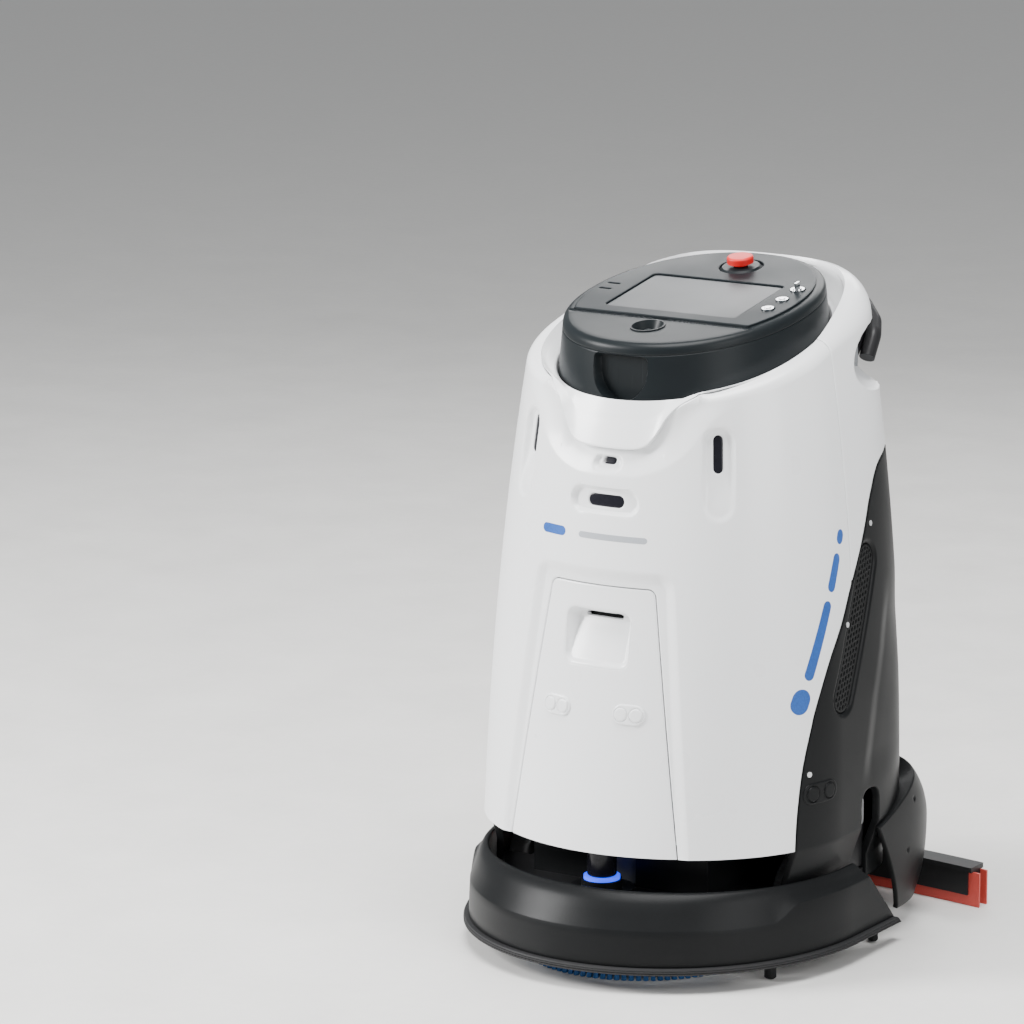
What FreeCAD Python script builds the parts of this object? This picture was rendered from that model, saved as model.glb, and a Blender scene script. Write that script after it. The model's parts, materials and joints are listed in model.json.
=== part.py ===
import FreeCAD, Part
import math
import os

from FreeCAD import Vector

# Robotic floor scrubber.  Millimetres, +Z up from the floor, front faces -Y, +X is the robot's left.
# The plan layout is drawn about the brush ring and moved back by FRAME_SHIFT at the end,
# so that the origin lies under the middle of the whole machine.
FRAME_SHIFT = -67.0

# Body skin
SHELL_BOTTOM = 189.0
SHELL_WALL = 4.0
BODY_HALF_WIDTH = 288.0
BODY_TOP_NARROWING = 63.0
BODY_FRONT_FOOT = -267.0
BODY_FRONT_LEAN = 0.1284
BODY_REAR = 305.0
SKIRT_NARROWING = 20.0
SKIRT_BOTTOM = 100.0
PLAN_POINTS = 40

# Rim round the console: a plane that rises to the rear
CREST_LEVEL = 904.5
CREST_SLOPE = 0.30
RIM_ROUNDING = 20.0
RIM_ROUNDING_LOSS_AT_FRONT = 12.0
RIM_ROUNDING_GAIN_AT_CORNERS = 16.0
BOWL_HALF_WIDTH = 212.0
BOWL_HALF_DEPTH = 226.0
WELL_HALF_WIDTH = 191.0
WELL_HALF_DEPTH = 225.0
WELL_CENTRE = 58.0
WELL_LEVEL = 882.0
WELL_SLOPE = 0.243

# Brow notch in front of the console
BROW_HALF_WIDTH = 92.0
BROW_BOTTOM = 779.0
BROW_CORNER = 42.0
LEDGE_TOP_Y = -171.0
LEDGE_TOP_Z = 846.0
LEDGE_FOOT_Y = -189.0

# Console lid
CONSOLE_LEVEL = 951.9
CONSOLE_SLOPE = 0.174
CONSOLE_TOP_HALF_WIDTH = 182.0
CONSOLE_TOP_HALF_DEPTH = 214.0
CONSOLE_BASE_HALF_WIDTH = 188.0
CONSOLE_BASE_HALF_DEPTH = 222.0
CONSOLE_POWER = 2.1
CONSOLE_WALL = 5.0
PANEL_THICKNESS = 3.0
PANEL_FRONT_Y = -42.0
SCREEN_SIZE = (222.0, 148.0)
SCREEN_Y = 57.0
LENS_WELL_Y = -77.0
LENS_WELL_RADIUS = 26.0
STOP_BUTTON_Y = 194.0
SWITCH_X = 139.0
KEY_Y = 120.0
KEY_RADIUS = 7.0
BUTTON_ROWS = (74.0, 32.0)
BUTTON_RADIUS = 5.4
SWITCH_RIM = 3.6

# Scoops at the rear corners and the push handle that is held in them.
# A corner frame stands on the skin: `out` points away from it and `along` points to the rear.
CORNER = (200.7, 235.0)
CORNER_TURN = 32.0
SCOOP_RADIUS = 52.0
SCOOP_OUT = 20.0
SCOOP_Z = 876.0
HANDLE_RADIUS = 12.0
KNUCKLE_RADIUS = 16.0
KNUCKLE_Z = 866.0

# Front door
DOOR_TOP = 577.0
DOOR_TOP_HALF_WIDTH = 88.0
DOOR_FOOT_HALF_WIDTH = 145.0
DOOR_CORNER = 12.0
DOOR_GAP = 1.5
DOOR_HINGE_Y = -232.0
DOOR_HINGE_Z = 203.0
SONAR_X = 62.0
SONAR_Z = 395.0
PULL_HALF_WIDTH = 46.0
PULL_BOTTOM = 481.0
PULL_TOP = 542.0
PULL_FRONT_Y = -211.5
PULL_DEPTH = 20.0

# Camera and depth sensor windows, sizes as (length, width)
CAMERA_WINDOW = (25.0, 11.0)
CAMERA_Z = 758.0
DEPTH_WINDOW = (57.0, 20.0)
DEPTH_WINDOW_Z = 700.0
SIDE_WINDOW = (48.0, 12.0)
SIDE_WINDOW_PLACE = (157.0, -140.0, 775.0)
SIDE_WINDOW_TURN = 34.8
WINDOW_PLAY = 0.4

# Bumper ring and rear fender
FENDER_POWER = 3.8
RING_TOP = 141.0
RING_BOTTOM = 30.0
RING_LIP_HALF_WIDTH = 312.0
RING_MIDDLE = 15.0
RING_FRONT = -325.0
RING_END_Y = 150.0
RING_END_SLOPE = 0.948

# Wheels, brush and squeegee
DRIVE_WHEEL_RADIUS = 85.0
DRIVE_WHEEL_WIDTH = 38.0
DRIVE_WHEEL_X = 228.0
DRIVE_WHEEL_Y = 12.0
HUB_RADIUS = 58.0
CASTER_X = 150.0
CASTER_Y = 212.0
CASTER_TRAIL = 22.0
CASTER_RADIUS = 36.0
CASTER_WIDTH = 24.0
BRUSH_Y = -92.0
BRUSH_RADIUS = 175.0
LIDAR_Y = -200.0
SQUEEGEE_PIVOT_Y = 335.0
SQUEEGEE_HALF_LENGTH = 331.0
SQUEEGEE_MIDDLE_Y = 410.0
SQUEEGEE_TIP_Y = 379.0
BLADE_SPACING = 24.0
BLADE_HEIGHT = 54.0
LIFT_PIVOT_Y = 262.0
LIFT_PIVOT_Z = 118.0
GRILLE_FOOT = (14.0, 400.0)
GRILLE_HEAD = (102.0, 588.0)
GRILLE_WIDTH = 48.0
PLATE_BOTTOM = 104.0
PLATE_TOP = 112.0
RUNNING_CLEARANCE = 0.05
PAD_GAP = 0.25


# ---------------------------------------------------------------- basic solids

def box(x_low, x_high, y_low, y_high, z_low, z_high):
    corner = Vector(x_low, y_low, z_low)
    return Part.makeBox(x_high - x_low, y_high - y_low, z_high - z_low, corner)


def rod(start, end, radius):
    """Round bar between two points."""
    first = Vector(*start)
    along = Vector(*end) - first
    return Part.makeCylinder(radius, along.Length, first, along)


def upright(x, y, z_low, z_high, radius):
    return Part.makeCylinder(radius, z_high - z_low, Vector(x, y, z_low))


def prism(points, push):
    """Straight-sided solid from a closed outline."""
    corners = [Vector(*point) for point in points]
    return Part.Face(Part.makePolygon(corners + corners[:1])).extrude(Vector(*push))


def side_prism(outline, x_low=-450.0, x_high=450.0):
    """Outline given in (y, z), pushed across the machine."""
    return prism([(x_low, y, z) for y, z in outline], (x_high - x_low, 0, 0))


def rounded_front_outline(corners, radius, y):
    """Prism of an outline in (x, z), pushed back from y; every corner after the first two is rounded."""
    face = Part.Face(Part.makePolygon([Vector(x, y, z) for x, z in corners + corners[:1]]))
    solid = face.extrude(Vector(0, 400, 0))
    edges = []
    for edge in solid.Edges:
        ends = [vertex.Point for vertex in edge.Vertexes]
        runs_back = abs(ends[0].y - ends[1].y) > 399
        if runs_back and any(math.hypot(ends[0].x - x, ends[0].z - z) < 0.01 for x, z in corners[2:]):
            edges.append(edge)
    return solid.makeFillet(radius, edges)


def capsule(length, width, depth):
    """Round-ended bar about the origin, its long way along X, pushed from y = 0 to y = depth."""
    half = (length - width) / 2
    radius = width / 2
    bar = box(-half, half, 0, depth, -radius, radius)
    ends = [rod((side * half, 0, 0), (side * half, depth, 0), radius) for side in (-1, 1)]
    return bar.fuse(ends).removeSplitter()


def mirrored(shape):
    return shape.mirror(Vector(0, 0, 0), Vector(1, 0, 0))


def pair(shape):
    """The shape and its mirror image across the middle plane, as one group."""
    return Part.makeCompound([shape, mirrored(shape)])


def round_all(shape, radius):
    """Fillet every edge where the kernel can do it."""
    try:
        rounded = shape.makeFillet(radius, shape.Edges)
    except Exception:
        return shape
    return rounded if rounded.isValid() else shape


# ---------------------------------------------------------------- body skin

def body_half_width(height):
    if height < SHELL_BOTTOM:
        return BODY_HALF_WIDTH - SKIRT_NARROWING * min(1.0, (SHELL_BOTTOM - height) / 55.0)
    rise = (height - 180.0) / 780.0
    return BODY_HALF_WIDTH - BODY_TOP_NARROWING * max(rise, 0.0) ** 2.2


def body_front(height):
    return BODY_FRONT_FOOT + BODY_FRONT_LEAN * (height - SHELL_BOTTOM)


def body_squareness(height):
    """Power of the rear superellipse: squarer near the floor."""
    return 4.0 - 0.6 * min(1.0, max(0.0, (height - 400.0) / 450.0))


def rim_shrink(angle, drop):
    """How far the skin rolls inwards within the last few millimetres below the crest."""
    forward = max(0.0, -math.sin(angle))
    corner = math.sin(2 * angle) if math.sin(angle) > 0 else 0.0
    radius = RIM_ROUNDING - RIM_ROUNDING_LOSS_AT_FRONT * forward ** 2
    radius += RIM_ROUNDING_GAIN_AT_CORNERS * corner ** 2
    if drop >= radius:
        return 0.0
    return radius - math.sqrt(radius ** 2 - (radius - drop) ** 2)


def body_point(angle, level, slope, inset, crest_drop):
    """Point of the skin where it meets the plane z = level + slope * y."""
    height = level
    for _ in range(5):
        middle = 0.03 * height
        gap = inset + rim_shrink(angle, crest_drop)
        half = body_half_width(height) - gap
        if math.sin(angle) < 0:
            depth = middle - body_front(height) - gap
            power = 2.0
        else:
            depth = BODY_REAR - middle - gap
            power = body_squareness(height)
        share = (abs(math.cos(angle)) / half) ** power + (abs(math.sin(angle)) / depth) ** power
        radius = share ** (-1.0 / power)
        y = middle + radius * math.sin(angle)
        height = level + slope * y
    return Vector(radius * math.cos(angle), y, height)


def closed_curve(points):
    curve = Part.BSplineCurve()
    curve.interpolate(points, PeriodicFlag=True)
    return Part.Wire([curve.toShape()])


def body_wire(level, slope=0.0, inset=0.0, crest_drop=1000.0):
    turn = 2 * math.pi / PLAN_POINTS
    return closed_curve(
        [body_point(turn * (step + 0.5), level, slope, inset, crest_drop) for step in range(PLAN_POINTS)]
    )


def body_solid(inset=0.0):
    """Everything inside the skin, from the shell's lower edge up to the crest plane."""
    wires = []
    lowest = SHELL_BOTTOM - (3.0 if inset > 0.0 else 0.0)
    planes = ((lowest, 0.0), (330.0, 0.0), (450.0, 0.02), (550.0, 0.06), (640.0, 0.11), (725.0, 0.17),
              (800.0, 0.24))
    for level, slope in planes:
        wires.append(body_wire(level, slope, inset))
    for drop in (60.0, 20.0, 11.0, 5.0, 1.5):
        wires.append(body_wire(CREST_LEVEL - inset - drop, CREST_SLOPE, inset, drop))
    wires.append(body_wire(CREST_LEVEL - inset, CREST_SLOPE, inset, 0.0))
    return Part.makeLoft(wires, True, True)


def skirt_solid(inset=0.0):
    """The lower body, which tucks in to pass inside the bumper ring."""
    lowest = SKIRT_BOTTOM - (0.0 if inset == 0.0 else 3.0)
    wires = [body_wire(level, 0.0, inset) for level in (lowest, 134.0, SHELL_BOTTOM)]
    return Part.makeLoft(wires, True, True)


def tilted_oval(half_width, half_depth, centre, power, level, slope):
    """Superellipse drawn on the plane z = level + slope * y."""
    points = []
    for step in range(PLAN_POINTS):
        angle = 2 * math.pi * (step + 0.5) / PLAN_POINTS
        share = (abs(math.cos(angle)) / half_width) ** power + (abs(math.sin(angle)) / half_depth) ** power
        radius = share ** (-1.0 / power)
        y = centre + radius * math.sin(angle)
        points.append(Vector(radius * math.cos(angle), y, level + slope * y))
    return closed_curve(points)


def bowl_solid(grow, lower):
    """Space of the bowl round the console and of the well below it."""
    top = 0.35
    base = tilted_oval(WELL_HALF_WIDTH + grow, WELL_HALF_DEPTH + grow, WELL_CENTRE, CONSOLE_POWER,
                       WELL_LEVEL - lower, WELL_SLOPE)
    wide = (BOWL_HALF_WIDTH + grow) * (1 + top) - (WELL_HALF_WIDTH + grow) * top
    deep = (BOWL_HALF_DEPTH + grow) * (1 + top) - (WELL_HALF_DEPTH + grow) * top
    level = (CREST_LEVEL - lower) * (1 + top) - (WELL_LEVEL - lower) * top
    slope = CREST_SLOPE * (1 + top) - WELL_SLOPE * top
    rim = tilted_oval(wide, deep, WELL_CENTRE + 1, 2.4, level, slope)
    cone = Part.makeLoft([base, rim], True, True)
    low = tilted_oval(WELL_HALF_WIDTH + grow, WELL_HALF_DEPTH + grow, WELL_CENTRE, CONSOLE_POWER,
                      WELL_LEVEL - 60.0, WELL_SLOPE)
    if grow > 0:
        return cone
    return cone.fuse(Part.makeLoft([low, base], True, True))


def brow_notch(grow):
    """Cut that leaves the sloping ledge and the brow in front of the console."""
    half = BROW_HALF_WIDTH + grow
    foot = BROW_BOTTOM - grow
    corners = [(half + 14, 1000.0), (-half - 14, 1000.0), (-half, foot), (half, foot)]
    slab = rounded_front_outline(corners, BROW_CORNER, -450.0)
    rise = LEDGE_TOP_Z - BROW_BOTTOM
    back = LEDGE_TOP_Y - LEDGE_FOOT_Y
    ledge = [(-450.0, 700.0), (-450.0, 1000.0)]
    for z in (1000.0, 700.0):
        ledge.append((LEDGE_FOOT_Y + (z - BROW_BOTTOM) * back / rise + grow, z))
    return slab.common(side_prism(ledge))


def at_corner(out, along, z):
    """Point given in the frame of the left rear corner."""
    turn = math.radians(CORNER_TURN)
    x = CORNER[0] + out * math.cos(turn) - along * math.sin(turn)
    y = CORNER[1] + out * math.sin(turn) + along * math.cos(turn)
    return Vector(x, y, z)


def corner_scoops(grow):
    """Troughs across both rear corners that make room for the handle's ends."""
    front = at_corner(SCOOP_OUT, -150.0, SCOOP_Z)
    rear = at_corner(SCOOP_OUT, 150.0, SCOOP_Z)
    return pair(rod(front, rear, SCOOP_RADIUS + grow))


def door_outline(grow):
    """Prism of the door's outline seen from the front, grown outwards by a gap."""
    lean = (DOOR_FOOT_HALF_WIDTH - DOOR_TOP_HALF_WIDTH) / (DOOR_TOP - SHELL_BOTTOM)
    foot = DOOR_FOOT_HALF_WIDTH + lean * 20.0 + grow
    top = DOOR_TOP_HALF_WIDTH + grow
    low = SHELL_BOTTOM - 20.0
    high = DOOR_TOP + grow
    corners = [(foot, low), (-foot, low), (-top, high), (top, high)]
    return rounded_front_outline(corners, DOOR_CORNER + grow, -450.0)


# Edge between the white and the black shell, seen from the side, as (y, z)
BOUNDARY = ((-96, 184), (-91, 243), (-80, 309), (-63, 366), (-50, 401), (-19, 462), (19, 515), (44, 554),
            (77, 600), (102, 640), (125, 680), (160, 718), (215, 736))
BOUNDARY_END_Y = 330.0
SEAM_Y = 50.0


def black_region():
    """Space behind and below the white shells."""
    curve = Part.BSplineCurve()
    curve.interpolate([Vector(-450, y, z) for y, z in BOUNDARY])
    first = Vector(-450, *BOUNDARY[0])
    last = Vector(-450, *BOUNDARY[-1])
    high = Vector(-450, BOUNDARY_END_Y, last.z)
    low = Vector(-450, BOUNDARY_END_Y, 0)
    corners = [last, high, low, Vector(-450, first.y, 0), first]
    edges = [curve.toShape()]
    for start, end in zip(corners[:-1], corners[1:]):
        edges.append(Part.makeLine(start, end))
    return Part.Face(Part.Wire(edges)).extrude(Vector(900, 0, 0))


OUTER = body_solid()
INNER = body_solid(SHELL_WALL)
BLACK = black_region()


def front_window(size, height, play=0.0):
    """Level round-ended plug through the middle of the front skin."""
    length, width = size
    return capsule(length - play, width - play, 100.0).translate(Vector(0, -260.0, height))


def side_window(play=0.0):
    """Upright plug through the robot's left cheek, square to the skin there."""
    length, width = SIDE_WINDOW
    solid = capsule(length - play, width - play, 60.0)
    solid.rotate(Vector(0, 0, 0), Vector(0, 1, 0), 90)
    solid.translate(Vector(0, -30.0, 0))
    solid.rotate(Vector(0, 0, 0), Vector(0, 0, 1), SIDE_WINDOW_TURN)
    return solid.translate(Vector(*SIDE_WINDOW_PLACE))


def grille_prism():
    """Slanted stadium of the side air grille."""
    foot_y, foot_z = GRILLE_FOOT
    head_y, head_z = GRILLE_HEAD
    length = math.hypot(head_y - foot_y, head_z - foot_z)
    solid = capsule(length + GRILLE_WIDTH, GRILLE_WIDTH, 900.0)
    solid.rotate(Vector(0, 0, 0), Vector(0, 0, 1), 90)
    tilt = math.degrees(math.atan2(head_z - foot_z, head_y - foot_y))
    solid.rotate(Vector(0, 0, 0), Vector(1, 0, 0), tilt)
    solid.translate(Vector(450.0, (foot_y + head_y) / 2, (foot_z + head_z) / 2))
    return solid


def skin_between(outer_inset, inner_inset):
    return body_solid(outer_inset).cut(body_solid(inner_inset))


def whole_shell():
    """White and black shells before they are parted, with the bowl and the brow but no openings."""
    outside = OUTER.cut(bowl_solid(0.0, 0.0)).cut(brow_notch(0.0)).cut(corner_scoops(0.0))
    hollow = INNER.cut(bowl_solid(SHELL_WALL, SHELL_WALL)).cut(brow_notch(SHELL_WALL))
    return outside.cut(hollow.cut(corner_scoops(SHELL_WALL)))


SHELL = whole_shell()


def make_front_shell():
    shell = SHELL.cut(BLACK).cut(box(-450, 450, SEAM_Y, 600, 0, 1100))
    shell = shell.cut(door_outline(DOOR_GAP))
    shell = shell.cut(front_window(CAMERA_WINDOW, CAMERA_Z))
    shell = shell.cut(front_window(DEPTH_WINDOW, DEPTH_WINDOW_Z))
    shell = shell.cut(pair(side_window()))
    return largest(shell)


def make_rear_upper_shell():
    return largest(SHELL.cut(BLACK).common(box(-450, 450, SEAM_Y + 0.5, 600, 0, 1100)))


def largest(shape):
    """Drop crumbs that a cut leaves behind."""
    return max(shape.Solids, key=lambda solid: solid.Volume)


def make_rear_lower_shell():
    shell = SHELL.common(BLACK)
    skirt = skirt_solid().cut(skirt_solid(SHELL_WALL))
    skirt = skirt.common(box(-450, 450, BOUNDARY[0][0], 600, 0, SHELL_BOTTOM))
    shell = shell.fuse(skirt).removeSplitter()
    shell = shell.cut(grille_prism()).cut(box(-450, 450, 67, 122, 0, 245))
    shell = shell.cut(box(-75, 75, 250, 400, 0, 225))
    return largest(shell)


def make_side_grilles():
    plate = skin_between(2.0, 5.0).common(grille_prism())
    lean = (GRILLE_HEAD[0] - GRILLE_FOOT[0]) / (GRILLE_HEAD[1] - GRILLE_FOOT[1])
    count = 12
    for step in range(count):
        height = GRILLE_FOOT[1] + (GRILLE_HEAD[1] - GRILLE_FOOT[1]) * step / (count - 1)
        middle = GRILLE_FOOT[0] + (height - GRILLE_FOOT[1]) * lean
        slot = box(-450, 450, middle - 16, middle + 16, height - 3.2, height + 3.2)
        plate = plate.cut(slot)
    return plate


def cut_to_skin(plug, inset, depth):
    """Keep the part of a plug that lies from inset to inset + depth under the skin."""
    return plug.common(skin_between(inset, inset + depth))


def make_front_cameras():
    """Windows of the small camera and of the wide depth camera."""
    small = cut_to_skin(front_window(CAMERA_WINDOW, CAMERA_Z, WINDOW_PLAY), 2.5, 14.0)
    wide = cut_to_skin(front_window(DEPTH_WINDOW, DEPTH_WINDOW_Z, WINDOW_PLAY), 2.5, 14.0)
    return Part.makeCompound([largest(small), largest(wide)])


def make_side_depth_sensors():
    return pair(largest(cut_to_skin(side_window(WINDOW_PLAY), 2.5, 10.0)))


def raised_on_skin(plug, height):
    """Pad of a given height where a plug comes out of the skin."""
    return largest(plug.common(body_solid(-height)).cut(body_solid(-PAD_GAP)).cut(OUTER))


def make_side_sensor_pods():
    """Pads on the black sides, each an oval rim with two round sensor faces."""
    rim = capsule(71.0, 32.0, 200.0)
    rim.rotate(Vector(0, 0, 0), Vector(0, 0, 1), 90)
    rim.translate(Vector(340.0, -47.0, 270.0))
    pad = raised_on_skin(rim, 2.2)
    for offset in (-17.0, 17.0):
        eye = rod((140, -47 + offset, 270), (340, -47 + offset, 270), 11.0)
        pad = pad.fuse(raised_on_skin(eye, 3.4))
    return pair(pad.removeSplitter())


def make_shell_screws():
    """Button-head screws along the white edge, as one group."""
    heads = []
    for y, z in ((-70.0, 300.0), (30.0, 505.0), (118.0, 640.0)):
        heads.append(raised_on_skin(rod((120, y, z), (320, y, z), 4.0), 1.3))
    return Part.makeCompound([pair(head) for head in heads])


# ---------------------------------------------------------------- chassis and what it carries

def make_chassis_plate():
    """Base plate with the wheel wells and the hitch for the squeegee's lift arm."""
    rear = skirt_solid(6.0).common(box(-450, 450, 12, 320, PLATE_BOTTOM, PLATE_TOP))
    nose = Part.Face(tilted_oval(262.0, 247.0, 12.0, 2.0, PLATE_BOTTOM, 0.0))
    nose = nose.extrude(Vector(0, 0, PLATE_TOP - PLATE_BOTTOM)).common(box(-450, 450, -300, 12, 0, 200))
    plate = rear.fuse(nose).removeSplitter()
    plate = plate.cut(upright(0, BRUSH_Y, 90, 130, 62.0)).cut(box(-60, 60, 246, 320, 90, 130))
    for side in (-1, 1):
        plate = plate.cut(upright(side * CASTER_X, CASTER_Y, 90, 130, 8.0 + RUNNING_CLEARANCE))
        low, high = sorted((side * 198, side * 290))
        plate = plate.cut(box(low, high, DRIVE_WHEEL_Y - 93, DRIVE_WHEEL_Y + 92, 90, 130))
        plate = plate.fuse(box(side * 28 - 4, side * 28 + 4, 238, 284, 100, 136))
    pin = rod((-32, LIFT_PIVOT_Y, LIFT_PIVOT_Z), (32, LIFT_PIVOT_Y, LIFT_PIVOT_Z), 5.0)
    bridge = box(-32, 32, 238, 246, PLATE_BOTTOM, 136)
    return plate.fuse([bridge, pin]).removeSplitter()


def make_neck_frame():
    """Black inner frame between the plate and the shells, open at the front for the lidar."""
    low, high = PLATE_TOP, 186
    walls = box(-215, 215, 106, 236, low, high).cut(box(-207, 207, 114, 228, 100, 200))
    front = box(-150, 150, -148, -140, low, high)
    sides = box(-150, -142, -148, 106, low, high).fuse(box(142, 150, -148, 106, low, high))
    deck = box(-215, 215, 106, 236, 178, high).fuse(box(-150, 150, -148, 106, 178, high))
    frame = walls.fuse([front, sides, deck]).removeSplitter()
    return frame.cut(upright(0, BRUSH_Y, 100, 190, 62.0))


def make_battery_pack():
    return round_all(box(-150, 150, 95, 230, 188, 370), 8.0)


def make_solution_tank():
    """Clean water tank that fills the front half of the body, clear of the door's swing."""
    tank = body_solid(14.0).common(box(-205, 205, -150, 88, 192, 640))
    return tank.cut(box(-160, 160, -300, -135, 180, 600))


def make_recovery_tank():
    tank = body_solid(14.0).common(box(-190, 190, -110, 225, 645, 840))
    return largest(tank.cut(box(-450, 450, -300, -60, 800, 900)).cut(corner_scoops(SHELL_WALL + 3.0)))


def make_recovery_tank_cap():
    cap = upright(0, 40, 840.5, 858, 62.0)
    for step in range(12):
        angle = 2 * math.pi * step / 12
        cap = cap.cut(upright(64 * math.cos(angle), 40 + 64 * math.sin(angle), 842, 860, 7.0))
    return cap


def make_vacuum_motor():
    return upright(0, 175, 378, 500, 78.0).fuse(upright(0, 175, 500, 560, 48.0)).removeSplitter()


def make_drive_motors():
    motor = rod((176, DRIVE_WHEEL_Y, DRIVE_WHEEL_RADIUS), (196, DRIVE_WHEEL_Y, DRIVE_WHEEL_RADIUS), 18.0)
    ear = box(184, 196, DRIVE_WHEEL_Y - 26, DRIVE_WHEEL_Y + 26, DRIVE_WHEEL_RADIUS - 20, 103.9)
    axle = rod((196, DRIVE_WHEEL_Y, DRIVE_WHEEL_RADIUS), (252, DRIVE_WHEEL_Y, DRIVE_WHEEL_RADIUS), 9.0)
    return pair(motor.fuse([ear, axle]).removeSplitter())


def make_wheel_arch_brackets():
    plate = box(257, 260, 62, 127, 114, 243)
    plate = plate.fuse(box(216, 260, 107, 124, 114, 118)).removeSplitter()
    for z in (195.0, 222.0):
        slot = box(250, 290, 76, 82, z - 6, z + 6)
        slot = slot.fuse([rod((250, 79, z + end), (290, 79, z + end), 3.0) for end in (-6, 6)])
        plate = plate.cut(slot)
    return pair(plate)


def fender_wire(level, half_width, rear):
    return tilted_oval(half_width, rear - 120.0, 120.0, FENDER_POWER, level, 0.0)


def make_rear_fender():
    """Black skirt round the rear wheels, open underneath and notched for the squeegee."""
    levels = ((30.0, 276.0, 372.0), (90.0, 288.0, 386.0), (160.0, 291.0, 388.0), (205.0, 288.0, 366.0),
              (246.0, 282.0, 318.0))
    outside = Part.makeLoft([fender_wire(z, wide, rear) for z, wide, rear in levels], True, True)
    wires = []
    for z, wide, rear in levels:
        drop = 1.0 if z < 40 else 4.0
        wires.append(fender_wire(z - drop, wide - 4, rear - 5))
    skirt = outside.cut(Part.makeLoft(wires, True, True))
    low_edge = side_prism([(-300, 20), (-300, 300), (115, 182), (205, 35), (205, 20)])
    top_slope = side_prism([(110, 178), (330, 258), (330, 320), (110, 320)])
    skirt = skirt.cut(low_edge).cut(top_slope)
    skirt = skirt.cut(box(-450, 450, 308, 600, 0, 108))
    skirt = skirt.cut(body_solid(-0.4).fuse(skirt_solid(-0.4)))
    return largest(skirt)


def make_charge_contacts():
    strip = box(-9, 9, 0, 3, -26, 26)
    left = strip.copy().translate(Vector(-35, 388.2, 150))
    right = strip.copy().translate(Vector(35, 388.2, 150))
    return Part.makeCompound([left, right])


def bent_tube(points, radius, bend):
    """Round tube along straight runs joined by tangent arcs."""
    places = [Vector(*point) for point in points]
    edges = []
    start = places[0]
    for before, corner, after in zip(places[:-2], places[1:-1], places[2:]):
        inward = (before - corner).normalize()
        outward = (after - corner).normalize()
        half_turn = (math.pi - inward.getAngle(outward)) / 2
        back = bend * math.tan(half_turn)
        first = corner + inward * back
        last = corner + outward * back
        bisector = (inward + outward).normalize()
        middle = corner + bisector * (bend / math.cos(half_turn) - bend)
        edges.append(Part.makeLine(start, first))
        edges.append(Part.Arc(first, middle, last).toShape())
        start = last
    edges.append(Part.makeLine(start, places[-1]))
    path = Part.Wire(edges)
    direction = (places[1] - places[0]).normalize()
    section = Part.Wire([Part.Circle(places[0], direction, radius).toShape()])
    return path.makePipeShell([section], True, True)


def make_push_handle():
    """Bent grip bar behind the console, with a short arm down to each scoop."""
    half = [(195.6, 231.8, 863), (193, 256, 893), (177, 286, 909), (148, 307, 930), (76, 352, 946)]
    bar = bent_tube(half + [(-x, y, z) for x, y, z in reversed(half)], HANDLE_RADIUS, 24.0)
    arm = rod(at_corner(-27.0, 0.0, 870.0), (165, 294, 917), 9.0)
    return bar.fuse([arm, mirrored(arm)]).removeSplitter().cut(OUTER.cut(corner_scoops(0.0))).Solids[0]


def make_handle_knuckles():
    """Round bosses on the floor of each scoop."""
    floor = SCOOP_OUT - SCOOP_RADIUS
    knuckle = rod(at_corner(floor - 3.0, 0.0, KNUCKLE_Z), at_corner(-20.0, 0.0, KNUCKLE_Z), KNUCKLE_RADIUS)
    return pair(largest(knuckle.common(corner_scoops(0.0)))).cut(make_push_handle())


def make_lidar_base():
    tray = upright(0, LIDAR_Y, PLATE_TOP + 0.1, 122, 48.0)
    tray = tray.fuse(upright(0, LIDAR_Y, 122, 134, 30.0)).removeSplitter()
    return tray.cut(box(-80, 80, -148.2, 0, 100, 140))


def make_light_ring():
    return upright(0, LIDAR_Y, 134, 139, 27.0).cut(upright(0, LIDAR_Y, 130, 142, 19.0))


def make_lidar_turret():
    return round_all(upright(0, LIDAR_Y, 139.5, 178, 22.0), 2.5)


def make_suction_socket():
    """Funnel over the squeegee's suction pipe, with its duct into the body."""
    cup = upright(0, SQUEEGEE_PIVOT_Y, 120, 188, 32.0)
    duct = box(-26, 26, 236.1, SQUEEGEE_PIVOT_Y, 164, 188)
    solid = cup.fuse(duct).removeSplitter()
    return solid.cut(upright(0, SQUEEGEE_PIVOT_Y, 110, 180, 28.0))


# ---------------------------------------------------------------- bumper ring

def ring_wire(level, half_width, front):
    """Half ellipse in front, straight sides behind, closed across the rear."""
    depth = RING_MIDDLE - front
    centre = Vector(0, RING_MIDDLE, level)
    tip = Vector(0, front, level)
    side = Vector(half_width, RING_MIDDLE, level)
    major, minor = (tip, side) if depth > half_width else (side, tip)
    ellipse = Part.Ellipse(major, minor, centre)
    halves = [ellipse.toShape(start, start + math.pi) for start in (-math.pi, -math.pi / 2, 0.0, math.pi / 2)]
    arc = min(halves, key=lambda half: half.CenterOfMass.y)
    ends = sorted([vertex.Point for vertex in arc.Vertexes], key=lambda point: point.x)
    back = 320.0
    left = Vector(ends[0].x, back, level)
    right = Vector(ends[1].x, back, level)
    sides = [Part.makeLine(ends[0], left), Part.makeLine(left, right), Part.makeLine(right, ends[1])]
    return Part.Wire(Part.__sortEdges__([arc] + sides))


def ring_solid(levels):
    return Part.makeLoft([ring_wire(z, half, front) for z, half, front in levels], True, True)


def ring_end_cut():
    """Space behind the slanted ends of the ring."""
    low = RING_END_Y + RING_END_SLOPE * 60.0
    high = RING_END_Y - RING_END_SLOPE * 160.0
    top = RING_BOTTOM + 160
    return side_prism([(low, RING_BOTTOM - 60), (high, top), (600, top), (600, -60)])


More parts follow.
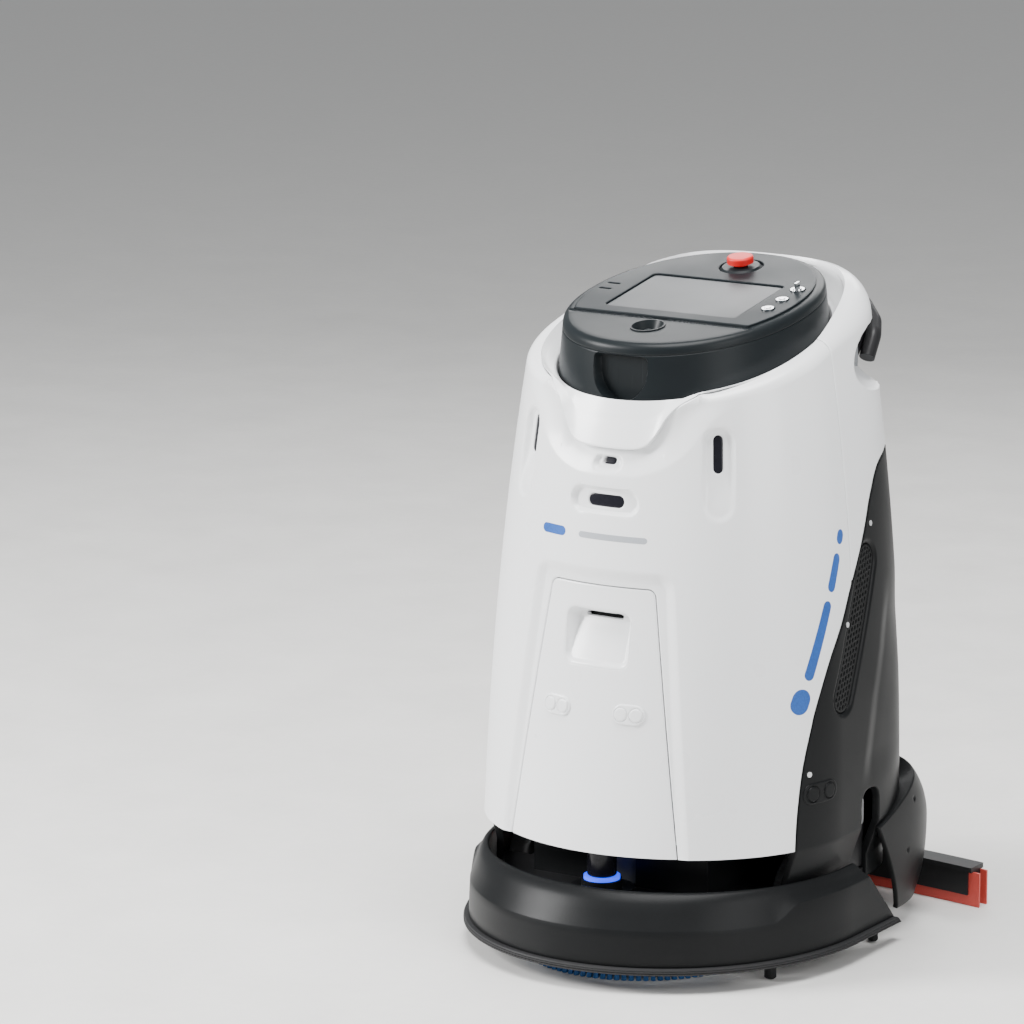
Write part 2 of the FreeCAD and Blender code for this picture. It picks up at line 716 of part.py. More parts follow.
def make_bumper_ring():
    """Hollow ring with four short glides under it that keep it off the floor."""
    outside = ring_solid((
        (38.0, 303.0, -316.0), (92.0, 302.0, -313.0), (128.0, 293.0, -290.0), (RING_TOP, 286.0, -272.0)))
    inside = ring_solid((
        (30.0, 295.0, -308.0), (92.0, 294.0, -303.0), (124.0, 284.0, -264.0), (150.0, 281.0, -254.0)))
    ring = outside.cut(inside).cut(ring_end_cut())
    for side in (-1, 1):
        for x, y, radius, inner, outer in ((246, -130, 9.0, 246, 278), (281, 118, 8.0, 281, 297)):
            low, high = sorted((side * inner, side * outer))
            ring = ring.fuse([upright(side * x, y, 3, 40, radius), box(low, high, y - 6, y + 6, 38, 46)])
    return largest(ring.removeSplitter())


def make_bumper_lip():
    outside = ring_solid((
        (28.0, RING_LIP_HALF_WIDTH, RING_FRONT), (37.8, RING_LIP_HALF_WIDTH - 2, RING_FRONT + 2)))
    inside = ring_solid(((20.0, 295.0, -308.0), (50.0, 295.0, -308.0)))
    return largest(outside.cut(inside).cut(ring_end_cut()))


# ---------------------------------------------------------------- brush, wheels, casters

def make_brush_deck():
    deck = upright(0, BRUSH_Y, 72, 78, 150.0)
    motor = upright(0, BRUSH_Y, 78, 160, 55.0)
    return deck.fuse(motor).removeSplitter().cut(upright(0, BRUSH_Y, 60, 110, 10.0))


def make_brush_disc():
    disc = upright(0, BRUSH_Y, 44, 58, BRUSH_RADIUS - 12)
    spindle = upright(0, BRUSH_Y, 58, 100, 10.0 - RUNNING_CLEARANCE)
    return disc.fuse([upright(0, BRUSH_Y, 58, 71, 40.0), spindle]).removeSplitter()


def make_brush_bristles():
    outer = Part.makeCone(BRUSH_RADIUS + 6, BRUSH_RADIUS - 16, 44.0, Vector(0, BRUSH_Y, 0))
    inner = upright(0, BRUSH_Y, -1, 45, 92.0)
    return outer.cut(inner)


def make_wheel_hub():
    centre = (DRIVE_WHEEL_Y, DRIVE_WHEEL_RADIUS)
    half = DRIVE_WHEEL_WIDTH / 2
    hub = rod((DRIVE_WHEEL_X - half + 3, *centre), (DRIVE_WHEEL_X + half - 3, *centre), HUB_RADIUS)
    hub = hub.cut(rod((DRIVE_WHEEL_X + half - 12, *centre), (DRIVE_WHEEL_X + half, *centre), HUB_RADIUS - 8))
    boss = rod((DRIVE_WHEEL_X - half, *centre), (DRIVE_WHEEL_X + half, *centre), 18.0)
    hub = hub.fuse(boss).removeSplitter()
    return hub.cut(rod((DRIVE_WHEEL_X - 40, *centre), (DRIVE_WHEEL_X + 40, *centre), 9.0 + RUNNING_CLEARANCE))


def make_tyre():
    centre = (DRIVE_WHEEL_Y, DRIVE_WHEEL_RADIUS)
    half = DRIVE_WHEEL_WIDTH / 2
    tyre = rod((DRIVE_WHEEL_X - half, *centre), (DRIVE_WHEEL_X + half, *centre), DRIVE_WHEEL_RADIUS)
    tyre = tyre.makeFillet(6.0, [edge for edge in tyre.Edges if edge.Length > 400])
    return tyre.cut(rod((DRIVE_WHEEL_X - 40, *centre), (DRIVE_WHEEL_X + 40, *centre), HUB_RADIUS))


def make_caster_fork():
    stem = upright(CASTER_X, CASTER_Y, 92, 124, 8.0)
    crown = upright(CASTER_X, CASTER_Y, 84, 103.6, 26.0)
    axle_y = CASTER_Y + CASTER_TRAIL
    fork = stem.fuse(crown)
    for side in (-1, 1):
        x = CASTER_X + side * (CASTER_WIDTH / 2 + 4.0)
        cheek = box(x - 2, x + 2, CASTER_Y - 14, CASTER_Y + 14, 76, 90)
        outline = [(CASTER_Y - 12, 86), (CASTER_Y + 22, 86), (axle_y + 9, 34), (axle_y - 9, 30)]
        fork = fork.fuse([cheek, side_prism(outline, x - 2, x + 2)])
    pin = rod((CASTER_X - 20, axle_y, CASTER_RADIUS), (CASTER_X + 20, axle_y, CASTER_RADIUS), 4.0)
    return fork.fuse(pin).removeSplitter()


def make_caster_wheel():
    centre = (CASTER_Y + CASTER_TRAIL, CASTER_RADIUS)
    half = CASTER_WIDTH / 2
    wheel = rod((CASTER_X - half, *centre), (CASTER_X + half, *centre), CASTER_RADIUS)
    wheel = wheel.makeFillet(4.0, [edge for edge in wheel.Edges if edge.Length > 100])
    return wheel.cut(rod((CASTER_X - 30, *centre), (CASTER_X + 30, *centre), 4.0 + RUNNING_CLEARANCE))


# ---------------------------------------------------------------- squeegee

def curved_strip(shift, thickness, half_length, z_low, z_high):
    """Strip that follows the squeegee's arc, shifted along Y."""
    bow = SQUEEGEE_MIDDLE_Y - SQUEEGEE_TIP_Y
    ends_y = SQUEEGEE_MIDDLE_Y - bow * (half_length / SQUEEGEE_HALF_LENGTH) ** 2 + shift
    near = ends_y - thickness / 2
    far = ends_y + thickness / 2
    middle = SQUEEGEE_MIDDLE_Y + shift
    front = Part.Arc(Vector(-half_length, near, z_low), Vector(0, middle - thickness / 2, z_low),
                     Vector(half_length, near, z_low)).toShape()
    rear = Part.Arc(Vector(half_length, far, z_low), Vector(0, middle + thickness / 2, z_low),
                    Vector(-half_length, far, z_low)).toShape()
    sides = [Part.makeLine(Vector(half_length, near, z_low), Vector(half_length, far, z_low)),
             Part.makeLine(Vector(-half_length, far, z_low), Vector(-half_length, near, z_low))]
    outline = Part.Wire([front, sides[0], rear, sides[1]])
    return Part.Face(outline).extrude(Vector(0, 0, z_high - z_low))


def make_front_blade():
    return curved_strip(-BLADE_SPACING / 2, 4.0, SQUEEGEE_HALF_LENGTH, 0.5, BLADE_HEIGHT)


def make_rear_blade():
    return curved_strip(BLADE_SPACING / 2, 4.0, SQUEEGEE_HALF_LENGTH, 0.0, BLADE_HEIGHT)


def make_squeegee_clamps():
    """Outer strips that press each blade on the carrier."""
    length = SQUEEGEE_HALF_LENGTH - 20
    front = curved_strip(-BLADE_SPACING / 2 - 4.0, 3.9, length, 17.0, BLADE_HEIGHT)
    rear = curved_strip(BLADE_SPACING / 2 + 4.0, 3.9, length, 22.0, BLADE_HEIGHT)
    return Part.makeCompound([front, rear])


def make_squeegee_carrier():
    """Top plate and spine between the blades, with the swivel socket and the roller arms."""
    length = SQUEEGEE_HALF_LENGTH - 12
    plate = curved_strip(0.0, BLADE_SPACING + 16.0, length, BLADE_HEIGHT + 0.2, BLADE_HEIGHT + 8)
    spine = curved_strip(0.0, BLADE_SPACING - 4.2, length, 26.0, BLADE_HEIGHT + 1)
    tongue = box(-34, 34, SQUEEGEE_PIVOT_Y - 6, SQUEEGEE_MIDDLE_Y, BLADE_HEIGHT + 0.2, BLADE_HEIGHT + 8)
    tongue = tongue.fuse(upright(0, SQUEEGEE_PIVOT_Y, BLADE_HEIGHT + 0.2, BLADE_HEIGHT + 8, 40.0))
    carrier = plate.fuse([spine, tongue])
    for side in (-1, 1):
        arm = box(side * 150 - 16, side * 150 + 16, 408, 440, BLADE_HEIGHT + 0.2, BLADE_HEIGHT + 6)
        cheeks = [box(side * 150 + offset - 2, side * 150 + offset + 2, 428, 452, 14, BLADE_HEIGHT + 6)
                  for offset in (-13, 13)]
        pin = rod((side * 150 - 15, 441, 18), (side * 150 + 15, 441, 18), 4.0)
        carrier = carrier.fuse([arm, pin] + cheeks)
    carrier = carrier.removeSplitter()
    return carrier.cut(upright(0, SQUEEGEE_PIVOT_Y, 0, 100, 26.0 + RUNNING_CLEARANCE))


def make_squeegee_roller(side):
    roller = rod((side * 150 - 9, 441, 18), (side * 150 + 9, 441, 18), 18.0)
    roller = roller.makeFillet(3.0, [edge for edge in roller.Edges if edge.Length > 60])
    return roller.cut(rod((side * 150 - 20, 441, 18), (side * 150 + 20, 441, 18), 4.0 + RUNNING_CLEARANCE))


def make_suction_elbow():
    """Pipe that rises through the arm's ring from the mouth between the blades."""
    low = BLADE_HEIGHT + 8.2
    high = BLADE_HEIGHT + 12
    pipe = upright(0, SQUEEGEE_PIVOT_Y, low, 160, 17.0)
    flange = upright(0, SQUEEGEE_PIVOT_Y, low, high, 24.0)
    duct = box(-28, 28, SQUEEGEE_PIVOT_Y, 398, low, high)
    return pipe.fuse([flange, duct]).removeSplitter()


def make_lift_arm():
    """Arm from the hitch pin back to the swivel ring, in two cheeks that join at the ring."""
    low = BLADE_HEIGHT - 14.0
    high = BLADE_HEIGHT - 0.2
    ring = upright(0, SQUEEGEE_PIVOT_Y, low, high, 38.0)
    sleeve = upright(0, SQUEEGEE_PIVOT_Y, low, BLADE_HEIGHT + 7.6, 26.0)
    arm = ring.fuse(sleeve)
    knee_y = SQUEEGEE_PIVOT_Y - 43
    outline = [(LIFT_PIVOT_Y - 10, LIFT_PIVOT_Z + 8), (LIFT_PIVOT_Y + 12, LIFT_PIVOT_Z + 10), (knee_y, high),
               (SQUEEGEE_PIVOT_Y, high), (SQUEEGEE_PIVOT_Y, low), (knee_y - 12, low),
               (LIFT_PIVOT_Y - 10, LIFT_PIVOT_Z - 12)]
    for side in (-1, 1):
        x = side * 18
        arm = arm.fuse(side_prism(outline, x - 4, x + 4))
    web = box(-22, 22, SQUEEGEE_PIVOT_Y - 40, SQUEEGEE_PIVOT_Y, low, high)
    arm = arm.fuse(web).removeSplitter().cut(upright(0, SQUEEGEE_PIVOT_Y, 30, 70, 21.0))
    hitch = (LIFT_PIVOT_Y, LIFT_PIVOT_Z)
    return arm.cut(rod((-60, *hitch), (60, *hitch), 5.0 + RUNNING_CLEARANCE))


# ---------------------------------------------------------------- console lid

def on_console(shape, y):
    """Move a shape drawn about the origin onto the console's sloping top at a given y."""
    shape.rotate(Vector(0, 0, 0), Vector(1, 0, 0), math.degrees(math.atan(CONSOLE_SLOPE)))
    return shape.translate(Vector(0, y, CONSOLE_LEVEL + CONSOLE_SLOPE * y))


def console_loft(inset, drop, lift):
    top = tilted_oval(CONSOLE_TOP_HALF_WIDTH - inset, CONSOLE_TOP_HALF_DEPTH - inset, WELL_CENTRE,
                      CONSOLE_POWER, CONSOLE_LEVEL - drop, CONSOLE_SLOPE)
    base = tilted_oval(CONSOLE_BASE_HALF_WIDTH - inset, CONSOLE_BASE_HALF_DEPTH - inset, WELL_CENTRE,
                       CONSOLE_POWER, WELL_LEVEL - 6.0 - lift, WELL_SLOPE)
    return Part.makeLoft([base, top], True, True)


def hand_recess(depth, grow=0.0):
    """D-shaped hollow in the console's front wall: flat above, round below."""
    radius = 46.0 + grow
    upper = box(-radius, radius, -220, depth, 884.0, 908.0 + grow)
    lower = Part.makeCylinder(radius, 220.0 + depth, Vector(0, -220, 884.0), Vector(0, 1, 0))
    return upper.fuse(lower.common(box(-80, 80, -230, 60, 800, 884.0))).removeSplitter()


def make_console_housing():
    outside = console_loft(0.0, 0.0, 0.0)
    top_edges = [edge for edge in outside.Edges if edge.Length > 1000 and edge.BoundBox.ZMax > 990]
    outside = outside.makeFillet(9.0, top_edges)
    hollow = console_loft(CONSOLE_WALL, 10.0, 12.0)
    pocket_wall = hand_recess(-134.0, CONSOLE_WALL).common(outside)
    housing = outside.cut(hollow).fuse(pocket_wall).removeSplitter()
    housing = housing.cut(hand_recess(-140.0))
    housing = housing.cut(on_console(upright(0, 0, -20, 20, LENS_WELL_RADIUS), LENS_WELL_Y))
    return largest(housing)


def make_control_panel():
    """Raised glossy panel behind the step, with a window for the screen."""
    plate = tilted_oval(CONSOLE_TOP_HALF_WIDTH - 14, CONSOLE_TOP_HALF_DEPTH - 14, WELL_CENTRE,
                        CONSOLE_POWER, CONSOLE_LEVEL, CONSOLE_SLOPE)
    panel = Part.Face(plate).extrude(Vector(0, 0, PANEL_THICKNESS))
    panel = panel.cut(box(-450, 450, -400, PANEL_FRONT_Y, 900, 1000))
    wide, deep = SCREEN_SIZE
    window = on_console(box(-wide / 2, wide / 2, -deep / 2, deep / 2, -10, 10), SCREEN_Y)
    panel = panel.cut(window)
    panel = panel.cut(on_console(upright(0, 0, -10, 20, 33.0), STOP_BUTTON_Y))
    for y, radius in switch_places():
        panel = panel.cut(on_console(upright(SWITCH_X, 0, -10, 20, radius + SWITCH_RIM + 0.4), y))
    return largest(panel)


def make_touch_screen():
    wide, deep = SCREEN_SIZE
    half_wide = wide / 2 - 0.5
    half_deep = deep / 2 - 0.5
    return on_console(box(-half_wide, half_wide, -half_deep, half_deep, 0.1, 2.0), SCREEN_Y)


def make_lens_well():
    cup = upright(0, 0, -16, 1.5, LENS_WELL_RADIUS - 0.1)
    cup = cup.cut(Part.makeCone(16.0, 24.0, 14.0, Vector(0, 0, -12)))
    dome = Part.makeSphere(12.0, Vector(0, 0, -17)).common(box(-20, 20, -20, 20, -13, 20))
    return on_console(cup.fuse(dome).removeSplitter(), LENS_WELL_Y)


def make_stop_collar():
    collar = Part.makeCone(32.0, 28.0, 4.3, Vector(0, 0, 0.1))
    return on_console(collar.cut(upright(0, 0, -1, 20, 11.0 + RUNNING_CLEARANCE)), STOP_BUTTON_Y)


def make_stop_button():
    head = upright(0, 0, 9.5, 20.0, 20.0)
    head = head.makeFillet(3.5, [edge for edge in head.Edges if edge.BoundBox.ZMin > 19])
    stem = upright(0, 0, 5.4, 9.5, 11.0)
    return on_console(head.fuse(stem).removeSplitter(), STOP_BUTTON_Y)


def switch_places():
    """Place along the console and bore radius of the key switch and of both buttons."""
    return ((KEY_Y, KEY_RADIUS),) + tuple((y, BUTTON_RADIUS) for y in BUTTON_ROWS)


def make_switch_bezels():
    """Chrome rings round the key switch and the two buttons."""
    rings = []
    for y, radius in switch_places():
        ring = upright(SWITCH_X, 0, 0.1, 5.0, radius + SWITCH_RIM).cut(upright(SWITCH_X, 0, 0, 6, radius))
        rings.append(on_console(ring, y))
    return Part.makeCompound(rings)


def make_key_switch():
    barrel = upright(SWITCH_X, 0, 0.6, 6.5, KEY_RADIUS - 0.3)
    grip = box(SWITCH_X - 1.6, SWITCH_X + 1.6, -5.5, 5.5, 6.5, 15.0)
    return on_console(barrel.fuse(grip).removeSplitter(), KEY_Y)


def make_push_button(row):
    cap = upright(SWITCH_X, 0, 2.2, 6.2, BUTTON_RADIUS - 0.4)
    cap = cap.makeFillet(1.0, [edge for edge in cap.Edges if edge.BoundBox.ZMin > 6])
    return on_console(cap, BUTTON_ROWS[row])


# ---------------------------------------------------------------- front door

def make_door_panel():
    panel = largest(SHELL.common(door_outline(0.0)))
    pull = box(-PULL_HALF_WIDTH, PULL_HALF_WIDTH, -400, -150, PULL_BOTTOM, PULL_TOP)
    panel = panel.cut(pull)
    for side in (-1, 1):
        panel = panel.cut(rod((side * SONAR_X, -400, SONAR_Z), (side * SONAR_X, -150, SONAR_Z), 12.0))
    lugs = []
    for side in (-1, 1):
        x = side * 84
        outline = [(-250, 199), (DOOR_HINGE_Y + 6, 196), (DOOR_HINGE_Y + 7, 212), (-245, 232)]
        lugs.append(side_prism(outline, x - 6, x + 6))
    panel = panel.fuse(lugs).removeSplitter()
    hinge = (DOOR_HINGE_Y, DOOR_HINGE_Z)
    return panel.cut(rod((-110, *hinge), (110, *hinge), 4.0 + RUNNING_CLEARANCE))


def make_door_hinge_pins():
    """Pins and brackets that hold the door's foot, fixed on the neck frame."""
    pins = []
    for side in (-1, 1):
        low, high = sorted((side * 74, side * 104))
        pin = rod((low, DOOR_HINGE_Y, DOOR_HINGE_Z), (high, DOOR_HINGE_Y, DOOR_HINGE_Z), 4.0)
        bracket = box(side * 98 - 4, side * 98 + 4, DOOR_HINGE_Y - 6, -137, 194, 211)
        foot = box(side * 98 - 4, side * 98 + 4, -150, -137, 186.1, 211)
        pins.append(pin.fuse([bracket, foot]).removeSplitter())
    return Part.makeCompound(pins)


def make_door_pull():
    """Deep cup behind the opening in the door, with the finger slot at its top."""
    front = PULL_FRONT_Y
    back = front + PULL_DEPTH
    cup = box(-PULL_HALF_WIDTH - 4, PULL_HALF_WIDTH + 4, front, back, PULL_BOTTOM - 4, PULL_TOP + 12)
    hollow = side_prism([(front - 9, PULL_BOTTOM), (front + 3, PULL_BOTTOM), (back - 4, PULL_TOP - 8),
                         (back - 4, PULL_TOP + 8), (front + 4, PULL_TOP + 8), (front + 4, PULL_TOP),
                         (front - 9, PULL_TOP)], -PULL_HALF_WIDTH, PULL_HALF_WIDTH)
    return largest(cup.cut(hollow))


def make_sonar_pods():
    """Two pods on the door, each an oval bezel with two round sensor faces and a plug behind."""
    pods = []
    for side in (-1, 1):
        x = side * SONAR_X
        bezel = raised_on_skin(capsule(50.0, 30.0, 120.0).translate(Vector(x, -300.0, SONAR_Z)), 3.0)
        pod = bezel.fuse(rod((x, -300, SONAR_Z), (x, -218, SONAR_Z), 11.8).common(body_solid(-2.0)))
        for offset in (-11.8, 11.8):
            eye = rod((x + offset, -300, SONAR_Z), (x + offset, -200, SONAR_Z), 10.0)
            pod = pod.fuse(raised_on_skin(eye, 4.5))
        pods.append(pod.removeSplitter())
    return Part.makeCompound([largest(pod) for pod in pods])


# ---------------------------------------------------------------- all nodes

def all_nodes():
    nodes = {
        "front_shell": make_front_shell(),
        "rear_upper_shell": make_rear_upper_shell(),
        "rear_lower_shell": make_rear_lower_shell(),
        "rear_fender": make_rear_fender(),
        "side_grilles": make_side_grilles(),
        "front_cameras": make_front_cameras(),
        "side_depth_sensors": make_side_depth_sensors(),
        "side_sensor_pods": make_side_sensor_pods(),
        "shell_screws": make_shell_screws(),
        "chassis_plate": make_chassis_plate(),
        "neck_frame": make_neck_frame(),
        "battery_pack": make_battery_pack(),
        "solution_tank": make_solution_tank(),
        "recovery_tank": make_recovery_tank(),
        "recovery_tank_cap": make_recovery_tank_cap(),
        "vacuum_motor": make_vacuum_motor(),
        "drive_motors": make_drive_motors(),
        "wheel_arch_brackets": make_wheel_arch_brackets(),
        "push_handle": make_push_handle(),
        "handle_knuckles": make_handle_knuckles(),
        "charge_contacts": make_charge_contacts(),
        "lidar_base": make_lidar_base(),
        "light_ring": make_light_ring(),
        "lidar_turret": make_lidar_turret(),
        "suction_socket": make_suction_socket(),
        "bumper_ring": make_bumper_ring(),
        "bumper_lip": make_bumper_lip(),
        "brush_deck": make_brush_deck(),
        "brush_disc": make_brush_disc(),
        "brush_bristles": make_brush_bristles(),
        "wheel_hub_left": make_wheel_hub(),
        "tyre_left": make_tyre(),
        "wheel_hub_right": mirrored(make_wheel_hub()),
        "tyre_right": mirrored(make_tyre()),
        "caster_fork_left": make_caster_fork(),
        "caster_wheel_left": make_caster_wheel(),
        "caster_fork_right": mirrored(make_caster_fork()),
        "caster_wheel_right": mirrored(make_caster_wheel()),
        "lift_arm": make_lift_arm(),
        "squeegee_carrier": make_squeegee_carrier(),
        "squeegee_clamps": make_squeegee_clamps(),
        "front_blade": make_front_blade(),
        "rear_blade": make_rear_blade(),
        "suction_elbow": make_suction_elbow(),
        "squeegee_roller_left": make_squeegee_roller(1),
        "squeegee_roller_right": make_squeegee_roller(-1),
        "console_housing": make_console_housing(),
        "control_panel": make_control_panel(),
        "touch_screen": make_touch_screen(),
        "lens_well": make_lens_well(),
        "stop_collar": make_stop_collar(),
        "stop_button": make_stop_button(),
        "switch_bezels": make_switch_bezels(),
        "key_switch": make_key_switch(),
        "start_button": make_push_button(0),
        "pause_button": make_push_button(1),
        "door_panel": make_door_panel(),
        "door_hinge_pins": make_door_hinge_pins(),
        "door_pull": make_door_pull(),
        "sonar_pods": make_sonar_pods(),
    }
    return nodes


def main():
    os.makedirs("parts", exist_ok=True)
    for name, shape in all_nodes().items():
        moved = shape.copy()
        moved.translate(Vector(0, FRAME_SHIFT, 0))
        moved.exportStep(os.path.join("parts", name + ".step"))
        span = moved.BoundBox
        low = f"{span.XMin:.1f} {span.YMin:.1f} {span.ZMin:.1f}"
        high = f"{span.XMax:.1f} {span.YMax:.1f} {span.ZMax:.1f}"
        print(f"{name:24s} {len(moved.Solids)} solids, valid {moved.isValid()}, from {low} to {high}")


main()
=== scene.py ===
import json
import math

import bpy
import numpy as np
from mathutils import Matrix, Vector


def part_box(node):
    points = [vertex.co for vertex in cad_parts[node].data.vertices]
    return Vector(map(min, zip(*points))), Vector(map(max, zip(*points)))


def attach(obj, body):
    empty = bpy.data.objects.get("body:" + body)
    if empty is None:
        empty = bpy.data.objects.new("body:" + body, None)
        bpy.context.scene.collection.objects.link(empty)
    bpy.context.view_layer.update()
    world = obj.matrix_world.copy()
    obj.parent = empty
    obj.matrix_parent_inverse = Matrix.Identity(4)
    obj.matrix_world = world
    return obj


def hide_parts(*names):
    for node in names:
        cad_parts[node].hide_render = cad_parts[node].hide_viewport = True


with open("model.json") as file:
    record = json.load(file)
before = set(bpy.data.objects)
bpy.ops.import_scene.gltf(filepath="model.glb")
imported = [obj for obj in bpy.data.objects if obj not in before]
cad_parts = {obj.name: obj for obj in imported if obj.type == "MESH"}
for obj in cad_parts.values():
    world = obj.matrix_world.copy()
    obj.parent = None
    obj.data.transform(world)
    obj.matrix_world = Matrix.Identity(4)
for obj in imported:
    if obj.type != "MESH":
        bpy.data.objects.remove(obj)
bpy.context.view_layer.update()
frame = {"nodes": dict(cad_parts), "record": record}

NODES = frame["nodes"]

# Shapes are written in millimetres in the plan of the brush ring; SHIFT moves them into the row frame.
SHIFT = Vector((0.0, -67.0, 0.0))
MM = 0.001

# Body skin: measures of its plan and how they change upwards
FOOT_Z = 189.0
FOOT_TUCK = (20.0, 55.0)
MIDDLE_SLOPE = 0.03
NARROWING_FROM = (180.0, 780.0, 2.2)
HALF_WIDTH = 288.0
TOP_NARROWING = 63.0
FRONT_FOOT = -267.0
FRONT_LEAN = 0.1284
REAR_Y = 305.0
CREST = (904.5, 0.30)
WELL = (882.0, 0.243)
EDGE_SOFTNESS = 2.2
SHELL_DEPTH = 9.0
SEAM_Y = 50.0
SEAM_GAP = 1.5

# Line where the bowl's inner surface turns over the brow, as (x, z), and the foot of the cove below it
BROW = ((0, 777), (30, 777.5), (48, 779.5), (61, 785), (71, 796), (80, 811), (88, 826), (98, 838), (109, 847),
        (119, 853), (128, 858), (137, 900))
BROW_FADE = (82.0, 150.0)
WAVE = ((0, 737), (30, 738), (56, 741), (92, 755), (123, 782), (150, 825), (182, 852), (210, 880))
COVE_DEPTH = 15.0

# Bowl and throat round the console, as (half width, half depth, centre, power)
THROAT = (195.0, 228.0, 58.0, 2.1)
BOWL = (212.0, 226.0, 59.0, 2.4)

# Edge between white and black shells, as (y, z)
BLACK_EDGE = ((-96, 184), (-91, 243), (-80, 309), (-63, 366), (-50, 401), (-19, 462), (19, 515), (44, 554),
              (77, 600), (102, 640), (125, 680), (160, 718), (215, 736))
SHELL_GAP = 0.9

# Ridge up the black side, as heights and the y of each
RIDGE = ((250.0, 293.0, 379.0, 449.0, 520.0, 600.0), (62.0, 72.0, 96.0, 123.0, 145.0, 160.0))

# Door and frame as foot, top and corner radius; pull as half width, heights and corner radius
DOOR = ((147.9, 169.0), (88.0, 577.0), 12.0)
FRAME = ((163.0, 169.0), (116.0, 602.0), 26.0)
PULL = (56.0, 459.0, 543.0, 16.0)
FRAME_DEPTH = 7.5
FRAME_BEVEL = 15.0

# Sensors on the front: stadiums as (length, width), places, and the recesses round them with their depths
SMALL_CAMERA_Z = 758.0
SMALL_CAMERA = (22.0, 10.4)
SMALL_CAMERA_RECESS = (50.0, 24.0, 6.0)
DEPTH_CAMERA_Z = 700.0
DEPTH_CAMERA = (61.0, 17.6)
DEPTH_CAMERA_RECESS = (117.0, 41.0, 8.5)
CHEEK = (157.0, -140.0, 775.0, math.radians(34.8))
CHEEK_WINDOW = (55.0, 14.4)
CHEEK_RECESS = (138.0, 50.0, 10.0)

# Side grille as (foot, top, radius), with its holes
GRILLE = ((14.0, 400.0), (102.0, 588.0), 24.0)
HOLE = (6.8, 3.4)
HOLE_PITCH = (9.5, 7.5)

# Trough for the push handle across each rear corner
SCOOP = (200.7, 235.0, 876.0)
SCOOP_TURN = math.radians(32.0)
SCOOP_RADIUS = 52.0
SCOOP_BITE = 20.0

# Pads with two round faces, as (length, width, half spacing, face radius)
SONAR_PAD = (50.0, 30.0, 11.8, 9.6)
SONAR_PLACE = (62.0, 395.0)
SIDE_PAD = (71.0, 32.0, 17.0, 11.0)
SIDE_PAD_PLACE = (-47.0, 270.0)

# Plain bars on the white shell: side bars as (start, length, width), front bars as (x, length, width)
SIDE_BAR_FOOT = (-88.0, 392.0)
SIDE_BAR_RISE = (0.411, 0.912)
SIDE_BARS = ((0.0, 38.0, 30.0), (52.0, 120.0, 17.0), (186.0, 58.0, 17.0), (258.0, 22.0, 17.0))
FRONT_BAR_Z = 648.0
FRONT_BARS = (("front_accent", -86.0, 46.0, 14.0, "accent_blue"),
              ("front_stripe", 18.0, 112.0, 9.0, "accent_grey"))

# Bumper ring and fender
FENDER_POWER = 3.8
FENDER_CENTRE = 120.0
FENDER_LEVELS = (30.0, 60.0, 90.0, 125.0, 160.0, 185.0, 205.0, 226.0, 246.0, 262.0)
FENDER_HALVES = (276.0, 283.0, 288.0, 290.5, 291.0, 290.0, 288.0, 285.5, 282.0, 279.0)
FENDER_REARS = (372.0, 380.0, 386.0, 388.5, 388.0, 379.0, 366.0, 345.0, 318.0, 296.0)
RING_MIDDLE = 15.0
RING_CUT = (150.0, 30.0, 0.948)
BAND_TOP = 127.0
GLIDES = ((246, -130, 9.0), (281, 118, 8.0))
LINK_PLACE = (117.0, 200.0)

# Console: planes as (level, slope)
TOP = (951.9, 0.174)
BASE = (876.0, 0.243)
CONSOLE_CENTRE = 58.0
CONSOLE_FOOT = (188.0, 222.0)
CONSOLE_RIM = (182.0, 214.0)
CONSOLE_PANEL = (168.0, 200.0)
CONSOLE_POWER = 2.1
CONSOLE_ROLL = 9.0
WALL_TOP = 24.0
ROLL_DROPS = (22.0, 20.0, 18.6, 17.6, 16.8, 16.0, 15.2, 14.4, 13.0, 11.0, 9.0, 7.0, 5.0, 3.4, 2.0, 1.0,
              0.3, 0.0)
PARTING_DROP = 16.0
STEP_Y = -44.5
PANEL_LIFT = 3.0
SCREEN = (0.0, 57.0, 222.0, 148.0)
SCREEN_CORNER = 7.0
SWITCHES = ((139.0, 120.0, 11.2), (139.0, 74.0, 9.6), (139.0, 32.0, 9.6))
PANEL_SLOTS = ((-149.0, 48.0), (-148.0, 72.0))
STOP_Y = 194.0
STOP_HOLE = 33.4
LENS_Y = -77.0
LENS_HOLE = 26.1

# Brush tufts: rings as (radius, count, splay), sections as (height, tuft radius)
TUFT_RINGS = ((96.0, 62, 2.0), (116.0, 76, 4.0), (136.0, 88, 7.0), (156.0, 100, 14.0))
TUFT_LEVELS = ((44.0, 2.4), (22.0, 3.2), (1.0, 4.3))
TYRE_BORE = 58.0
TREAD_STEPS = 192

# Camera, lights and floor, in metres and watts; lights are (place, aim, size, power)
EYE = (3.9089, -6.6890, 2.2803)
TARGET = (-0.2766, -0.0770, 0.6178)
LENS_MM = 186.6
SENSOR_MM = 36.0
LIGHTS = {
    "ceiling": ((0.3, -0.6, 4.2), (0, 0, 0.4), (2.6, 2.2), 300.0),
    "left_window": ((-3.2, -2.6, 2.4), (0, 0, 0.5), (1.4, 1.8), 370.0),
    "right_fill": ((3.6, -1.2, 1.8), (0, 0, 0.5), (2.0, 2.2), 80.0),
    "back_strip": ((-1.2, 3.4, 2.6), (0, 0, 0.7), (2.6, 1.0), 60.0),
}
SKY = ((0.86, 0.88, 0.90, 1.0), 0.45)
FLOOR_HALF = 60.0


# Mesh tools

